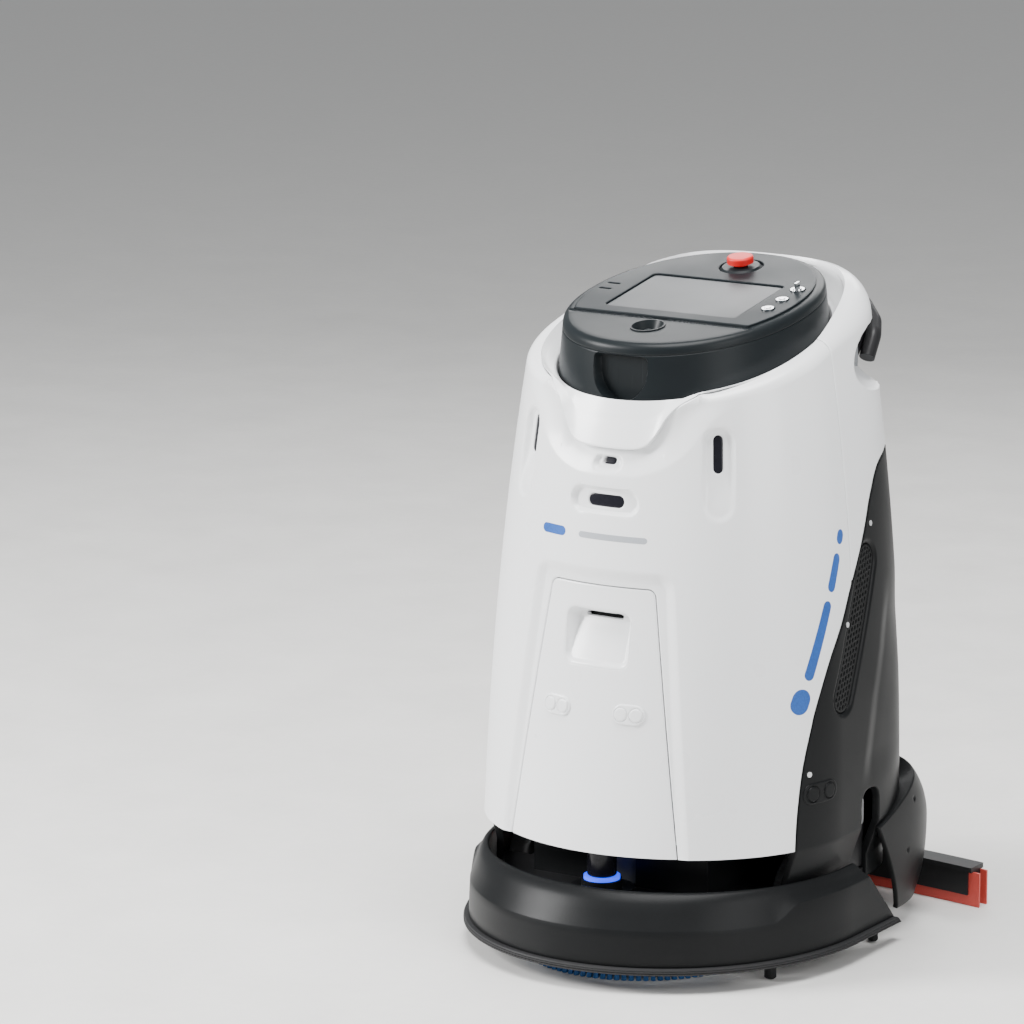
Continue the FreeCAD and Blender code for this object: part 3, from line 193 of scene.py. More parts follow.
def cut(mesh, values, both=False):
    """Split faces where values change sign and keep the negative side, or both sides."""
    points, faces = mesh
    inside = values < 0
    made = {}
    extra = []

    def crossing(i, j):
        key = (i, j) if i < j else (j, i)
        if key not in made:
            share = values[i] / (values[i] - values[j])
            made[key] = len(points) + len(extra)
            extra.append(points[i] + (points[j] - points[i]) * share)
        return made[key]

    kept = []
    for face in faces:
        flags = [inside[i] for i in face]
        if all(flags):
            kept.append(face)
        elif not any(flags):
            if both:
                kept.append(face)
        else:
            inner = []
            outer = []
            for i, j in zip(face, face[1:] + face[:1]):
                (inner if inside[i] else outer).append(i)
                if inside[i] != inside[j]:
                    middle = crossing(i, j)
                    inner.append(middle)
                    outer.append(middle)
            kept.append(tuple(inner))
            if both:
                kept.append(tuple(outer))
    if extra:
        points = np.vstack([points, np.array(extra)])
    return points, kept


def trim(mesh, *fields):
    """Keep what lies inside every field, and add edge loops so that the rim can be rounded."""
    for field in fields:
        mesh = cut(mesh, field(mesh[0]))
    for inset in (0.3 * EDGE_SOFTNESS, EDGE_SOFTNESS):
        mesh = cut(mesh, rim_distance(mesh[0], fields) + inset, both=True)
    return mesh


def rim_distance(points, fields):
    return np.max([field(points) for field in fields], axis=0)


def rim_rounding(points, fields):
    """Depth by which a rounded rim falls away."""
    near = np.clip(1 + rim_distance(points, fields) / EDGE_SOFTNESS, 0, 1)
    return EDGE_SOFTNESS * (1 - np.sqrt(1 - near ** 2))


def open_edges(faces):
    seen = {}
    for face in faces:
        for i, j in zip(face, face[1:] + face[:1]):
            key = (i, j) if i < j else (j, i)
            seen[key] = None if key in seen else (i, j)
    return [edge for edge in seen.values() if edge]


def sink(mesh, depth, wall=SHELL_DEPTH):
    """Move points inwards by depth along their normals and turn the rim inwards as a wall."""
    points, faces = mesh
    wall = np.broadcast_to(wall, len(points))
    moved = points[:, :3] - points[:, 3:] * depth[:, None]
    edges = open_edges(faces)
    rim = sorted({i for edge in edges for i in edge})
    place = {i: len(moved) + k for k, i in enumerate(rim)}
    lower = moved[rim] - points[rim, 3:] * wall[rim][:, None]
    sides = [(j, i, place[i], place[j]) for i, j in edges]
    return np.vstack([moved, lower]), faces + sides


def grid_faces(rows, columns, closed):
    faces = []
    last = columns if closed else columns - 1
    for r in range(rows - 1):
        for c in range(last):
            d = (c + 1) % columns
            faces.append((r * columns + c, r * columns + d, (r + 1) * columns + d, (r + 1) * columns + c))
    return faces


def with_normals(x, y, z, closed=False):
    """Grid of points and outward normals; rows run upwards and columns anticlockwise."""
    grid = np.stack([x, y, z], axis=-1)
    if closed:
        ring = np.concatenate([grid[:, -1:], grid, grid[:, :1]], axis=1)
        along = (ring[:, 2:] - ring[:, :-2]) / 2
    else:
        along = np.gradient(grid, axis=1)
    upward = np.gradient(grid, axis=0)
    normal = np.cross(along, upward)
    normal /= np.linalg.norm(normal, axis=-1, keepdims=True)
    rows, columns = x.shape
    points = np.concatenate([grid.reshape(-1, 3), normal.reshape(-1, 3)], axis=1)
    return points, grid_faces(rows, columns, closed)


def plain_sheet(rows, closed):
    """Sheet through rows of points, without normals."""
    grid = np.stack(rows)
    points = np.concatenate([grid.reshape(-1, 3), np.zeros((grid[..., 0].size, 3))], axis=1)
    return points, grid_faces(grid.shape[0], grid.shape[1], closed)


def join(*meshes):
    points = []
    faces = []
    count = 0
    for places, part in meshes:
        points.append(np.asarray(places, float)[:, :3])
        faces += [tuple(i + count for i in face) for face in part]
        count += len(places)
    return np.vstack(points), faces


def mirror(mesh):
    points, faces = mesh
    flipped = np.array(points, float)
    flipped[:, 0] *= -1
    if flipped.shape[1] > 3:
        flipped[:, 3] *= -1
    return flipped, [tuple(reversed(face)) for face in faces]


def in_scene(name, data):
    """New object with this data, linked into the scene."""
    obj = bpy.data.objects.new(name, data)
    bpy.context.scene.collection.objects.link(obj)
    return obj


def piece(name, mesh, body, finish, replaced=(), angle=35.0):
    """Object from a mesh in millimetres, placed in the row frame and finished with a slot's material."""
    points, faces = mesh
    places = (np.asarray(points, float)[:, :3] + np.array(SHIFT)) * MM
    data = bpy.data.meshes.new(name)
    data.from_pydata(places.tolist(), [], faces)
    data.validate()
    data.shade_smooth()
    data.set_sharp_from_angle(angle=math.radians(angle))
    obj = in_scene(name, data)
    data.materials.append(FINISHES[finish])
    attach(obj, body)
    if replaced:
        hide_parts(*replaced)
    return obj


# Outlines as signed distances

def polygon_distance(u, v, corners):
    """Signed distance to a closed outline, negative inside."""
    corners = [*corners, corners[0]]
    best = line_distance(u, v, corners)
    inside = np.zeros(u.shape, bool)
    for (u0, v0), (u1, v1) in zip(corners[:-1], corners[1:]):
        if v0 != v1:
            inside ^= ((v0 > v) != (v1 > v)) & (u < (u1 - u0) * (v - v0) / (v1 - v0) + u0)
    return np.where(inside, -best, best)


def line_distance(u, v, places):
    best = np.full(u.shape, 1e9)
    for (u0, v0), (u1, v1) in zip(places[:-1], places[1:]):
        du, dv = u1 - u0, v1 - v0
        share = np.clip(((u - u0) * du + (v - v0) * dv) / (du * du + dv * dv + 1e-12), 0, 1)
        best = np.minimum(best, np.hypot(u - u0 - share * du, v - v0 - share * dv))
    return best


def capsule_distance(u, v, length, width):
    """Level stadium about the origin."""
    reach = (length - width) / 2
    return np.hypot(u - np.clip(u, -reach, reach), v) - width / 2


def rounded(corners, radius, steps=6):
    """Outline with every corner replaced by an arc-like curve."""
    corners = [Vector(corner) for corner in corners]
    outline = []
    for k, corner in enumerate(corners):
        before = (corners[k - 1] - corner).normalized()
        after = (corners[(k + 1) % len(corners)] - corner).normalized()
        half = before.angle(after) / 2
        back = radius / math.tan(half)
        first = corner + before * back
        last = corner + after * back
        centre = corner + (before + after).normalized() * (radius / math.sin(half))
        for s in range(steps + 1):
            ray = first.lerp(last, s / steps) - centre
            outline.append(tuple(centre + ray.normalized() * radius))
    return outline


def through(places, steps=8):
    """Smooth curve through places (Catmull-Rom)."""
    p = [2 * np.array(places[0], float) - places[1]] + [np.array(q, float) for q in places]
    p.append(2 * p[-1] - p[-2])
    curve = []
    for k in range(1, len(p) - 2):
        for s in range(steps):
            t = s / steps
            curve.append(0.5 * (2 * p[k] + (p[k + 1] - p[k - 1]) * t
                                + (2 * p[k - 1] - 5 * p[k] + 4 * p[k + 1] - p[k + 2]) * t ** 2
                                + (3 * p[k] - p[k - 1] - 3 * p[k + 1] + p[k + 2]) * t ** 3))
    curve.append(p[-2])
    return [tuple(q) for q in curve]


def smooth(low, high, value):
    t = np.clip((value - low) / (high - low), 0, 1)
    return t * t * (3 - 2 * t)


def trapezium(foot, top, radius):
    """Upright outline with rounded corners from (half width, height) at its foot and top."""
    return rounded([foot, top, (-top[0], top[1]), (-foot[0], foot[1])], radius)


DOOR_OUTLINE = trapezium(*DOOR)
FRAME_OUTLINE = trapezium(*FRAME)
PULL_OUTLINE = trapezium((PULL[0], PULL[1]), (PULL[0], PULL[2]), PULL[3])
BLACK_OUTLINE = through(BLACK_EDGE) + [(420.0, 736.0), (420.0, 0.0), (-96.0, 0.0)]
BROW_LINE = through(BROW[:-1])
WAVE_LINE = through(WAVE)


def front_only(value, points):
    """Treat everything behind the widest line as far outside."""
    return np.where(points[:, 1] < 0, value, 60.0)


def front_outline(outline):
    return lambda points: front_only(polygon_distance(points[:, 0], points[:, 2], outline), points)


door_field = front_outline(DOOR_OUTLINE)
frame_field = front_outline(FRAME_OUTLINE)
pull_field = front_outline(PULL_OUTLINE)


def black_field(points):
    return polygon_distance(points[:, 1], points[:, 2], BLACK_OUTLINE)


def camera_field(points, length=SMALL_CAMERA[0], width=SMALL_CAMERA[1]):
    return front_only(capsule_distance(points[:, 0], points[:, 2] - SMALL_CAMERA_Z, length, width), points)


def depth_field(points, length=DEPTH_CAMERA[0], width=DEPTH_CAMERA[1]):
    return front_only(capsule_distance(points[:, 0], points[:, 2] - DEPTH_CAMERA_Z, length, width), points)


def cheek_place(points):
    """Coordinates across and up the side sensor, the same on both cheeks."""
    x, y, z, turn = CHEEK
    across = (np.abs(points[:, 0]) - x) * math.cos(turn) + (points[:, 1] - y) * math.sin(turn)
    return across, points[:, 2] - z


def cheek_field(points):
    across, up = cheek_place(points)
    return front_only(capsule_distance(up, across, *CHEEK_WINDOW), points)


def grille_field(points, grow=0.0):
    (y0, z0), (y1, z1), radius = GRILLE
    return line_distance(points[:, 1], points[:, 2], [(y0, z0), (y1, z1)]) - radius - grow


# Body skin

def oval_reach(angle, half_wide, half_deep, power):
    """Distance from the middle of a squared oval to its edge."""
    share = (np.abs(np.cos(angle)) / half_wide) ** power + (np.abs(np.sin(angle)) / half_deep) ** power
    return share ** (-1.0 / power)


def oval(angle, half_wide, half_deep, centre, power):
    reach = oval_reach(angle, half_wide, half_deep, power)
    return reach * np.cos(angle), centre + reach * np.sin(angle)


def half_width(z):
    """Half of the body's width at a height above its foot."""
    low, tall, power = NARROWING_FROM
    rise = np.maximum((z - low) / tall, 0.0)
    return HALF_WIDTH - TOP_NARROWING * rise ** power


def front_reach(z):
    """How far the front lies ahead of the plan's middle."""
    return MIDDLE_SLOPE * z - FRONT_FOOT - FRONT_LEAN * (z - FOOT_Z)


def skin(angle, z):
    """x and y of the body's skin for a plan angle and a height."""
    tuck = FOOT_TUCK[0] * np.clip((FOOT_Z - z) / FOOT_TUCK[1], 0, 1)
    half = np.where(z < FOOT_Z, HALF_WIDTH - tuck, half_width(z))
    middle = MIDDLE_SLOPE * z
    ahead = np.sin(angle) < 0
    depth = np.where(ahead, front_reach(z), REAR_Y - middle)
    depth = np.where((z < FOOT_Z) & ~ahead, depth - tuck, depth)
    power = np.where(ahead, 2.0, 4.0 - 0.6 * np.clip((z - 400.0) / 450.0, 0, 1))
    return oval(angle, half, depth, middle, power)


def skin_patch(angles, heights):
    """Piece of the skin on a grid of plan angles and heights."""
    angle, height = np.meshgrid(angles, heights)
    x, y = skin(angle, height)
    return with_normals(x, y, height)


def front_patch(half, low, high, step):
    """Piece of the front skin on an even grid of x and z."""
    xs = np.arange(-half, half + step, step)
    zs = np.arange(low, high + step, step)
    x, z = np.meshgrid(xs, zs)
    y = MIDDLE_SLOPE * z - front_reach(z) * np.sqrt(np.maximum(1 - (x / half_width(z)) ** 2, 0))
    return with_normals(x, y, z)


def crest_height(angle):
    """Height of the line where the skin turns over: the rim's plane, dipping to the brow in front."""
    z = np.full(angle.shape, 860.0)
    xs = [p[0] for p in BROW_LINE] + [BROW[-1][0]]
    zs = [p[1] for p in BROW_LINE] + [BROW[-1][1]]
    for _ in range(12):
        x, y = skin(angle, z)
        rim = CREST[0] + CREST[1] * y
        brow = np.where((y < 0) & (np.abs(x) < BROW[-1][0]), np.interp(np.abs(x), xs, zs), 2000.0)
        z = 0.5 * z + 0.5 * np.minimum(rim, brow)
    return z, 1 - smooth(*BROW_FADE, np.where(y < 0, np.abs(x), 500.0))


def rim_roll(angle, drop):
    """How far the skin leans in just below the crest."""
    corner = np.where(np.sin(angle) > 0, np.sin(2 * angle) ** 2, 0.0)
    radius = 20.0 - 12.0 * np.maximum(0.0, -np.sin(angle)) ** 2 + 16.0 * corner
    short = np.clip(radius - drop, 0, None)
    return radius - np.sqrt(np.maximum(radius ** 2 - short ** 2, 0))


def cove_depth(points):
    """Hollow between the brow's edge and the wave line."""
    x = np.abs(points[:, 0])
    z = points[:, 2]
    from_brow = line_distance(x, z, BROW_LINE)
    from_wave = line_distance(x, z, WAVE_LINE)
    wave = np.interp(x, [p[0] for p in WAVE_LINE], [p[1] for p in WAVE_LINE])
    share = from_wave / (from_wave + from_brow + 1e-6)
    fade = 1 - smooth(100.0, 195.0, x)
    level = 1 - share ** 2 * smooth(72.0, 106.0, x)
    depth = COVE_DEPTH * (0.7 * share + 0.3 * share ** 2) * fade * level
    return np.where((points[:, 1] < 0) & (z > wave) & (x < 209), depth, 0.0)


def front_depth(points):
    """Everything hollowed out of the white front."""
    depth = cove_depth(points)
    lowered = points - np.array([0, 0, -3.0, 0, 0, 0])
    length, width, deep = SMALL_CAMERA_RECESS
    depth += deep * smooth(0.0, 6.0, -camera_field(lowered, length, width))
    length, width, deep = DEPTH_CAMERA_RECESS
    depth += deep * smooth(0.0, 7.0, -depth_field(points, length, width))
    length, width, deep = CHEEK_RECESS
    across, up = cheek_place(points)
    drop = front_only(capsule_distance(up + 28.5, across, length, width), points)
    slope = 0.25 + 0.75 * smooth(-90.0, -20.0, up)
    depth += deep * smooth(0.0, 9.0, -drop) * slope
    bevel = np.clip(-frame_field(points) / FRAME_BEVEL, 0, 1)
    depth += FRAME_DEPTH * 0.5 * (bevel + bevel ** 2 * (3 - 2 * bevel))
    return depth


def handle_depth(points):
    """Trough across each rear corner, where the handle is held: how deep a cylinder bites into the skin."""
    x = np.abs(points[:, 0]) - SCOOP[0]
    y = points[:, 1] - SCOOP[1]
    out = x * math.cos(SCOOP_TURN) + y * math.sin(SCOOP_TURN)
    across = points[:, 2] - SCOOP[2]
    reach = np.sqrt(np.maximum(SCOOP_RADIUS ** 2 - across ** 2, 0))
    bite = out - (SCOOP_BITE - reach)
    near = (points[:, 1] > 60) & (np.abs(across) < SCOOP_RADIUS) & (np.abs(points[:, 0]) > 60)
    slant = np.abs(points[:, 3]) * math.cos(SCOOP_TURN) + points[:, 4] * math.sin(SCOOP_TURN)
    return np.where(near, np.maximum(bite, 0) / np.maximum(slant, 0.45), 0.0)


def crease_depth(points):
    """Ridge that runs up the black side: the skin behind it is set in a little."""
    ridge = np.interp(points[:, 2], *RIDGE)
    behind = smooth(0.0, 34.0, points[:, 1] - ridge) * (1 - smooth(60.0, 180.0, points[:, 1] - ridge))
    tall = smooth(240.0, 300.0, points[:, 2]) * (1 - smooth(480.0, 560.0, points[:, 2]))
    return 3.5 * behind * tall


def body_angles():
    """Plan angles, closer together beside the brow."""
    even = np.linspace(-math.pi, math.pi, 600, endpoint=False)
    dense = [-math.pi / 2 + side * step for side in (-1, 1) for step in np.linspace(0.33, 0.66, 60)]
    return np.unique(np.round(np.concatenate([even, dense]), 5))


def skin_sheet(angles, heights):
    """Skin that rolls over at its crest, at heights given as fractions from the foot to the crest."""
    top, brow = crest_height(angles)
    z = FOOT_Z + (top[None, :] - FOOT_Z) * heights[:, None]
    angle = np.broadcast_to(angles[None, :], z.shape)
    x, y = skin(angle, z)
    lean = rim_roll(angle, top[None, :] - z) * (1 - brow[None, :])
    middle = MIDDLE_SLOPE * z
    scale = 1 - lean / np.hypot(x, y - middle)
    return x * scale, middle + (y - middle) * scale, z


def bowl_sheet(angles):
    """Top rim, bowl and the throat round the console, from the crest line inwards."""
    x, y, z = (values[0] for values in skin_sheet(angles, np.array([1.0])))
    brow = crest_height(angles)[1]
    edge = np.stack([x, y, z + 1.5 * brow], axis=-1)
    hollow = cove_depth(np.stack([x, y, z - 0.5], axis=-1)) + 3.0 * (brow > 0.02)
    turn = np.arctan2(y - CONSOLE_CENTRE, x)
    wx, wy = oval(turn, *THROAT)
    well = np.stack([wx, wy, WELL[0] + WELL[1] * wy + 4.0], axis=-1)
    bx, by = oval(turn, *BOWL)
    bowl = np.stack([bx, by, CREST[0] + CREST[1] * by], axis=-1)
    straight = edge + (well - edge) * 0.6
    bowl = bowl + (straight - bowl) * brow[:, None]
    under = edge - np.stack([x, y - CONSOLE_CENTRE, 0 * x], axis=-1) / 250.0 * hollow[:, None]
    under[:, 2] -= 5.5 * brow
    lip = edge - np.stack([0 * x, 0 * x, 1.8 + 0 * x], axis=-1) * brow[:, None]
    rows = [under, lip]
    for share in (0.0, 0.04, 0.12, 0.35, 0.65, 0.90):
        rows.append(edge + (bowl - edge) * share)
    rows.append(bowl - np.array([0, 0, 0.6]))
    for share in (0.10, 0.30, 0.60, 0.90, 1.0):
        sag = np.array([0, 0, -3.0 * math.sin(math.pi * share)])
        rows.append(bowl + (well - bowl) * share + sag * (1 - brow[:, None]))
    for inward, down in ((0.985, 2.0), (0.975, 8.0), (0.970, 45.0)):
        row = well.copy()
        row[:, 0] *= inward
        row[:, 1] = CONSOLE_CENTRE + (row[:, 1] - CONSOLE_CENTRE) * inward
        row[:, 2] -= down
        rows.append(row)
    return plain_sheet(rows, True)


def seam_front(points):
    return points[:, 1] - (SEAM_Y - SEAM_GAP / 2)


def seam_rear(points):
    return (SEAM_Y + SEAM_GAP / 2) - points[:, 1]


def outside(field, gap=0.0):
    return lambda points: gap - field(points)


def build_white_shells():
    angles = body_angles()
    heights = np.concatenate([np.linspace(0.0, 0.955, 200), np.linspace(0.958, 1.0, 16)])
    sheet = with_normals(*skin_sheet(angles, heights), closed=True)
    bowl = bowl_sheet(angles)
    fields = (outside(black_field, SHELL_GAP), seam_front, outside(door_field, 1.4), outside(camera_field),
              outside(depth_field), outside(cheek_field))
    front = trim(sheet, *fields)
    depth = front_depth(front[0]) + rim_rounding(front[0], fields)
    front_bowl = cut(bowl, seam_front(bowl[0]))
    piece("front_shell_skin", join(sink(front, depth), front_bowl), "chassis", "white_shell", ["front_shell"])
    fields = (outside(black_field, SHELL_GAP), seam_rear)
    rear = trim(sheet, *fields)
    depth = handle_depth(rear[0]) + rim_rounding(rear[0], fields)
    rear_bowl = cut(bowl, seam_rear(bowl[0]))
    rear = join(sink(rear, depth), rear_bowl)
    piece("rear_upper_skin", rear, "chassis", "white_shell", ["rear_upper_shell"])


def build_windows():
    """Dark windows of the two cameras and of both cheek sensors."""
    patches = []
    for field in (camera_field, depth_field):
        mesh = trim(front_patch(34.0, 685.0, 770.0, 1.0), field)
        patches.append(sink(mesh, front_depth(mesh[0]) + 1.2 + 0.4 * rim_rounding(mesh[0], (field,)), 4.0))
    piece("front_camera_windows", join(*patches), "chassis", "lens", ["front_cameras"])
    mesh = trim(skin_patch(np.linspace(-0.98, -0.62, 60), np.linspace(745.0, 805.0, 70)), cheek_field)
    mesh = sink(mesh, front_depth(mesh[0]) + 1.0 + 0.4 * rim_rounding(mesh[0], (cheek_field,)), 4.0)
    piece("cheek_sensor_windows", join(mesh, mirror(mesh)), "chassis", "lens", ["side_depth_sensors"])


def build_door():
    """Door panel, and its pull with a deep cup and a slot at the top, with a dark sheet set in the slot as
    painted shade.
    """
    sheet = front_patch(152.0, FOOT_Z, 582.0, 2.5)
    fields = (door_field, outside(pull_field))
    mesh = trim(sheet, *fields)
    panel = sink(mesh, FRAME_DEPTH + 0.2 + 0.6 * rim_rounding(mesh[0], fields), 6.0)
    piece("door_skin", panel, "front_door", "white_shell", ["door_panel"])
    cup = trim(front_patch(58.0, 456.0, 546.0, 1.2), lambda p: pull_field(p) - 0.5)
    z = cup[0][:, 2]
    slot = smooth(0.0, 1.5, -capsule_distance(cup[0][:, 0], z - 533.5, 69.0, 9.0))
    hollow = 2.0 + 19.0 * np.clip((z - PULL[1]) / 68.0, 0, 1)
    round_wall = smooth(0.0, 9.0, -pull_field(cup[0]))
    depth = FRAME_DEPTH + 0.4 + hollow * round_wall + 9.0 * slot
    piece("door_pull_cup", sink(cup, depth, 1.0), "front_door", "white_shell", ["door_pull"])
    # Dark sheet set in the slot's hollow: painted shade of the deep slot, in the black shell finish.
    inside = slot > 0.2
    faces = [face for face in cup[1] if all(inside[i] for i in face)]
    piece("door_pull_slot_painted_shade", sink((cup[0], faces), depth - 0.4, 1.0), "front_door", "black_shell")


def pod_sheet(sheet, across, up, size, base):
    """Oval rim with two round faces, raised on a skin; across and up are measured from its middle."""
    length, width, spacing, eye = size

    def rim(points):
        return capsule_distance(across(points), up(points), length, width)

    def from_eye(points, side):
        return np.hypot(across(points) - side * spacing, up(points))

    mesh = trim(sheet, rim)
    for radius in (eye + 1.6, eye + 0.4, eye - 0.6):
        for side in (-1, 1):
            mesh = cut(mesh, from_eye(mesh[0], side) - radius, both=True)
    middle = np.minimum(from_eye(mesh[0], 1), from_eye(mesh[0], -1))
    groove = np.clip(1 - np.abs(middle - eye - 0.9) / 1.0, 0, 1)
    face = smooth(0.0, 1.6, eye + 0.4 - middle)
    depth = base - 2.6 + rim_rounding(mesh[0], (rim,)) + 1.5 * groove - 1.3 * face
    return sink(mesh, depth, 5.0)


def build_pods():
    """Two pads on the door and one low on each black side."""
    pods = []
    x, z = SONAR_PLACE
    sheet = front_patch(92.0, 375.0, 415.0, 1.0)
    for middle in (-x, x):
        pod = pod_sheet(sheet, lambda p: p[:, 0] - middle, lambda p: p[:, 2] - z, SONAR_PAD, FRAME_DEPTH)
        pods.append(pod)
    piece("sonar_bezels", join(*pods), "front_door", "white_shell", ["sonar_pods"])
    y, z = SIDE_PAD_PLACE
    sheet = skin_patch(np.linspace(-0.42, 0.02, 130), np.linspace(248.0, 292.0, 50))
    pod = pod_sheet(sheet, lambda p: p[:, 1] - y, lambda p: p[:, 2] - z, SIDE_PAD, 0.8)
    piece("side_pod_pads", join(pod, mirror(pod)), "chassis", "black_shell", ["side_sensor_pods"])


def build_black_shell():
    """Lower rear shell with its grille openings, wheel arches and the gap for the squeegee's arm."""
    heights = np.concatenate([np.linspace(100.0, 185.0, 24), np.linspace(FOOT_Z, 738.0, 190)])
    sheet = skin_patch(np.linspace(-0.75, math.pi + 0.75, 520), heights)
    arch = rounded([(67.0, 60.0), (67.0, 245.0), (122.0, 245.0), (122.0, 60.0)], 22.0)
    rear_gap = [(250.0, 0.0), (250.0, 225.0), (420.0, 225.0), (420.0, 0.0)]

    def arch_field(points):
        return -polygon_distance(points[:, 1], points[:, 2], arch)

    def rear_field(points):
        near = polygon_distance(points[:, 1], points[:, 2], rear_gap)
        return -np.maximum(near, np.abs(points[:, 0]) - 75.0)

    fields = (lambda p: black_field(p) + SHELL_GAP, outside(grille_field, 0.6), arch_field, rear_field)
    mesh = trim(sheet, *fields)
    near_grille = 3.0 * smooth(0.0, 5.0, -grille_field(mesh[0], 6.0))
    depth = rim_rounding(mesh[0], fields) + crease_depth(mesh[0]) + near_grille
    piece("rear_lower_skin", sink(mesh, depth), "chassis", "black_shell", ["rear_lower_shell"])


def build_grilles():
    """Plates with staggered rows of slotted holes."""
    mesh = trim(skin_patch(np.linspace(-0.10, 0.46, 150), np.linspace(372.0, 616.0, 300)), grille_field)
    (y0, z0), (y1, z1), _ = GRILLE
    length = math.hypot(y1 - y0, z1 - z0)
    along = ((mesh[0][:, 1] - y0) * (y1 - y0) + (mesh[0][:, 2] - z0) * (z1 - z0)) / length
    side = ((mesh[0][:, 1] - y0) * (z1 - z0) - (mesh[0][:, 2] - z0) * (y1 - y0)) / length
    pitch_along, pitch_side = HOLE_PITCH
    column = np.round(side / pitch_side)
    local_side = side - column * pitch_side
    shifted = along + 0.5 * pitch_along * (column % 2)
    local_along = shifted - np.round(shifted / pitch_along) * pitch_along
    hole = capsule_distance(local_along, local_side, *HOLE)
    hole = np.where(-grille_field(mesh[0]) > 4.5, hole, 5.0)
    depth = 3.6 + 4.5 * (1 - smooth(-0.7, 0.5, hole)) + rim_rounding(mesh[0], (grille_field,))
    plate = sink(mesh, depth, 3.0)
    piece("grille_plates", join(plate, mirror(plate)), "chassis", "black_shell", ["side_grilles"])


def build_brackets():
    """Dark plate behind each wheel arch and the bright slotted link fixed on it."""
    y, z = np.meshgrid(np.arange(62.0, 128.0, 1.0), np.arange(116.0, 243.0, 1.0))
    sheet = with_normals(np.full(y.shape, 258.0), y, z)
    backing = sink(sheet, np.zeros(y.size), 1.0)
    piece("arch_backing_left", backing, "chassis", "painted_black", ["wheel_arch_brackets"])
    piece("arch_backing_right", mirror(backing), "chassis", "painted_black")

    link_y, link_z = LINK_PLACE

    def link(points):
        return capsule_distance(points[:, 2] - link_z, points[:, 1] - link_y, 40.0, 13.0)

    def slots(points):
        return -capsule_distance(np.abs(points[:, 2] - link_z) - 10.0, points[:, 1] - link_y, 11.0, 4.6)

    raised = trim(sheet, link, slots)
    plate = sink(raised, np.full(len(raised[0]), -1.6), 1.5)
    piece("arch_link_left", plate, "chassis", "steel")
    piece("arch_link_right", mirror(plate), "chassis", "steel")


# Bumper ring and fender

def ring_path(count, back):
    """Plan of the ring as (x share, y share, y) from its left end round the nose to its right end."""
    straight = np.linspace(back, RING_MIDDLE, 40, endpoint=False)
    turns = np.linspace(0.0, -math.pi, count)
    left = [(1.0, 0.0, y) for y in straight]
    nose = [(math.cos(t), math.sin(t), RING_MIDDLE) for t in turns]
    right = [(-1.0, 0.0, y) for y in straight[::-1]]
    return np.array(left + nose + right)


def ring_sheet(profile):
    """Closed tube round the nose; each profile point is (half width, front, height) or a function of y."""
    path = ring_path(260, 158.0)
    rows = []
    for half, front, z in profile:
        x = path[:, 0] * half
        y = path[:, 2] + path[:, 1] * (RING_MIDDLE - front)
        height = z(y) if callable(z) else np.full(x.shape, float(z))
        rows.append(np.stack([x, y, height], axis=-1))
    points, faces = plain_sheet([*rows, rows[0]], False)
    count = len(rows) * len(path)
    return points[:count], [tuple(i % count for i in reversed(face)) for face in faces]


def ring_cut(points):
    y, z, slope = RING_CUT
    return (points[:, 1] - (y - slope * (points[:, 2] - z))) / math.hypot(1.0, slope)


def capped(mesh):
    """Close the open ends of a tube."""
    points, faces = mesh
    edges = open_edges(faces)
    following = {j: i for i, j in edges}
    while following:
        start, step = following.popitem()
        loop = [start, step]
        while step in following:
            step = following.pop(step)
            loop.append(step)
        if loop[0] == loop[-1]:
            loop.pop()
        if len(loop) > 2:
            faces = faces + [tuple(loop)]
    return points, faces


def ring_body(profile):
    """Ring of a profile, cut off at both ends and closed."""
    sheet = ring_sheet(profile)
    return capped(cut(sheet, ring_cut(sheet[0])))


def band_foot(y):
    """Lower edge of the ring's chamfered band, which steps up towards each end."""
    return 92.0 + 25.0 * smooth(-150.0, -104.0, y)


def build_bumper():
    """Guard ring with its glides, and the rubber lip round its foot."""
    def mix(share):
        return lambda y: band_foot(y) + (BAND_TOP - band_foot(y)) * share

    outer = [(303.0, -316.0, 38.0), (303.6, -316.6, 40.0), (303.4, -316.2, 60.0), (302.6, -315.0, 80.0),
             (302.2, -314.2, lambda y: band_foot(y) - 0.8), (301.6, -313.2, lambda y: band_foot(y) + 0.8),
             (298.8, -306.0, mix(0.33)), (296.0, -299.0, mix(0.66)), (293.4, -292.0, BAND_TOP),
             (291.8, -287.5, 132.0),
             (289.2, -281.5, 137.5), (286.8, -276.5, 140.3), (284.4, -272.5, 141.0), (282.6, -269.0, 140.2),
             (281.6, -266.5, 138.0), (282.6, -266.0, 130.0), (288.0, -284.0, 108.0), (294.0, -303.0, 90.0),
             (295.0, -307.5, 60.0), (295.2, -308.0, 38.0)]
    glides = []
    for side in (-1, 1):
        for x, y, radius in GLIDES:
            profile = [(0.0, 3.0), (radius - 2, 3.0), (radius, 5.0), (radius, 42.0)]
            glides.append(lathe(profile, (side * x, y, 0), 24))
    ring = join(ring_body(outer), *glides)
    piece("bumper_ring_skin", ring, "bumper", "black_shell", ["bumper_ring"], angle=28.0)
    lip = [(308.0, -321.0, 28.2), (311.0, -324.0, 28.4), (311.9, -324.9, 29.2), (312.0, -325.0, 31.0),
           (310.8, -323.8, 31.6), (311.9, -324.9, 32.3), (311.8, -324.8, 34.0), (310.5, -323.5, 34.6),
           (311.2, -324.2, 35.2), (310.4, -323.4, 37.2), (308.5, -321.5, 37.8), (303.2, -316.2, 37.9),
           (296.0, -309.0, 37.9), (296.0, -309.0, 28.2)]
    piece("bumper_lip_skin", ring_body(lip), "bumper", "rubber_black", ["bumper_lip"], angle=40.0)


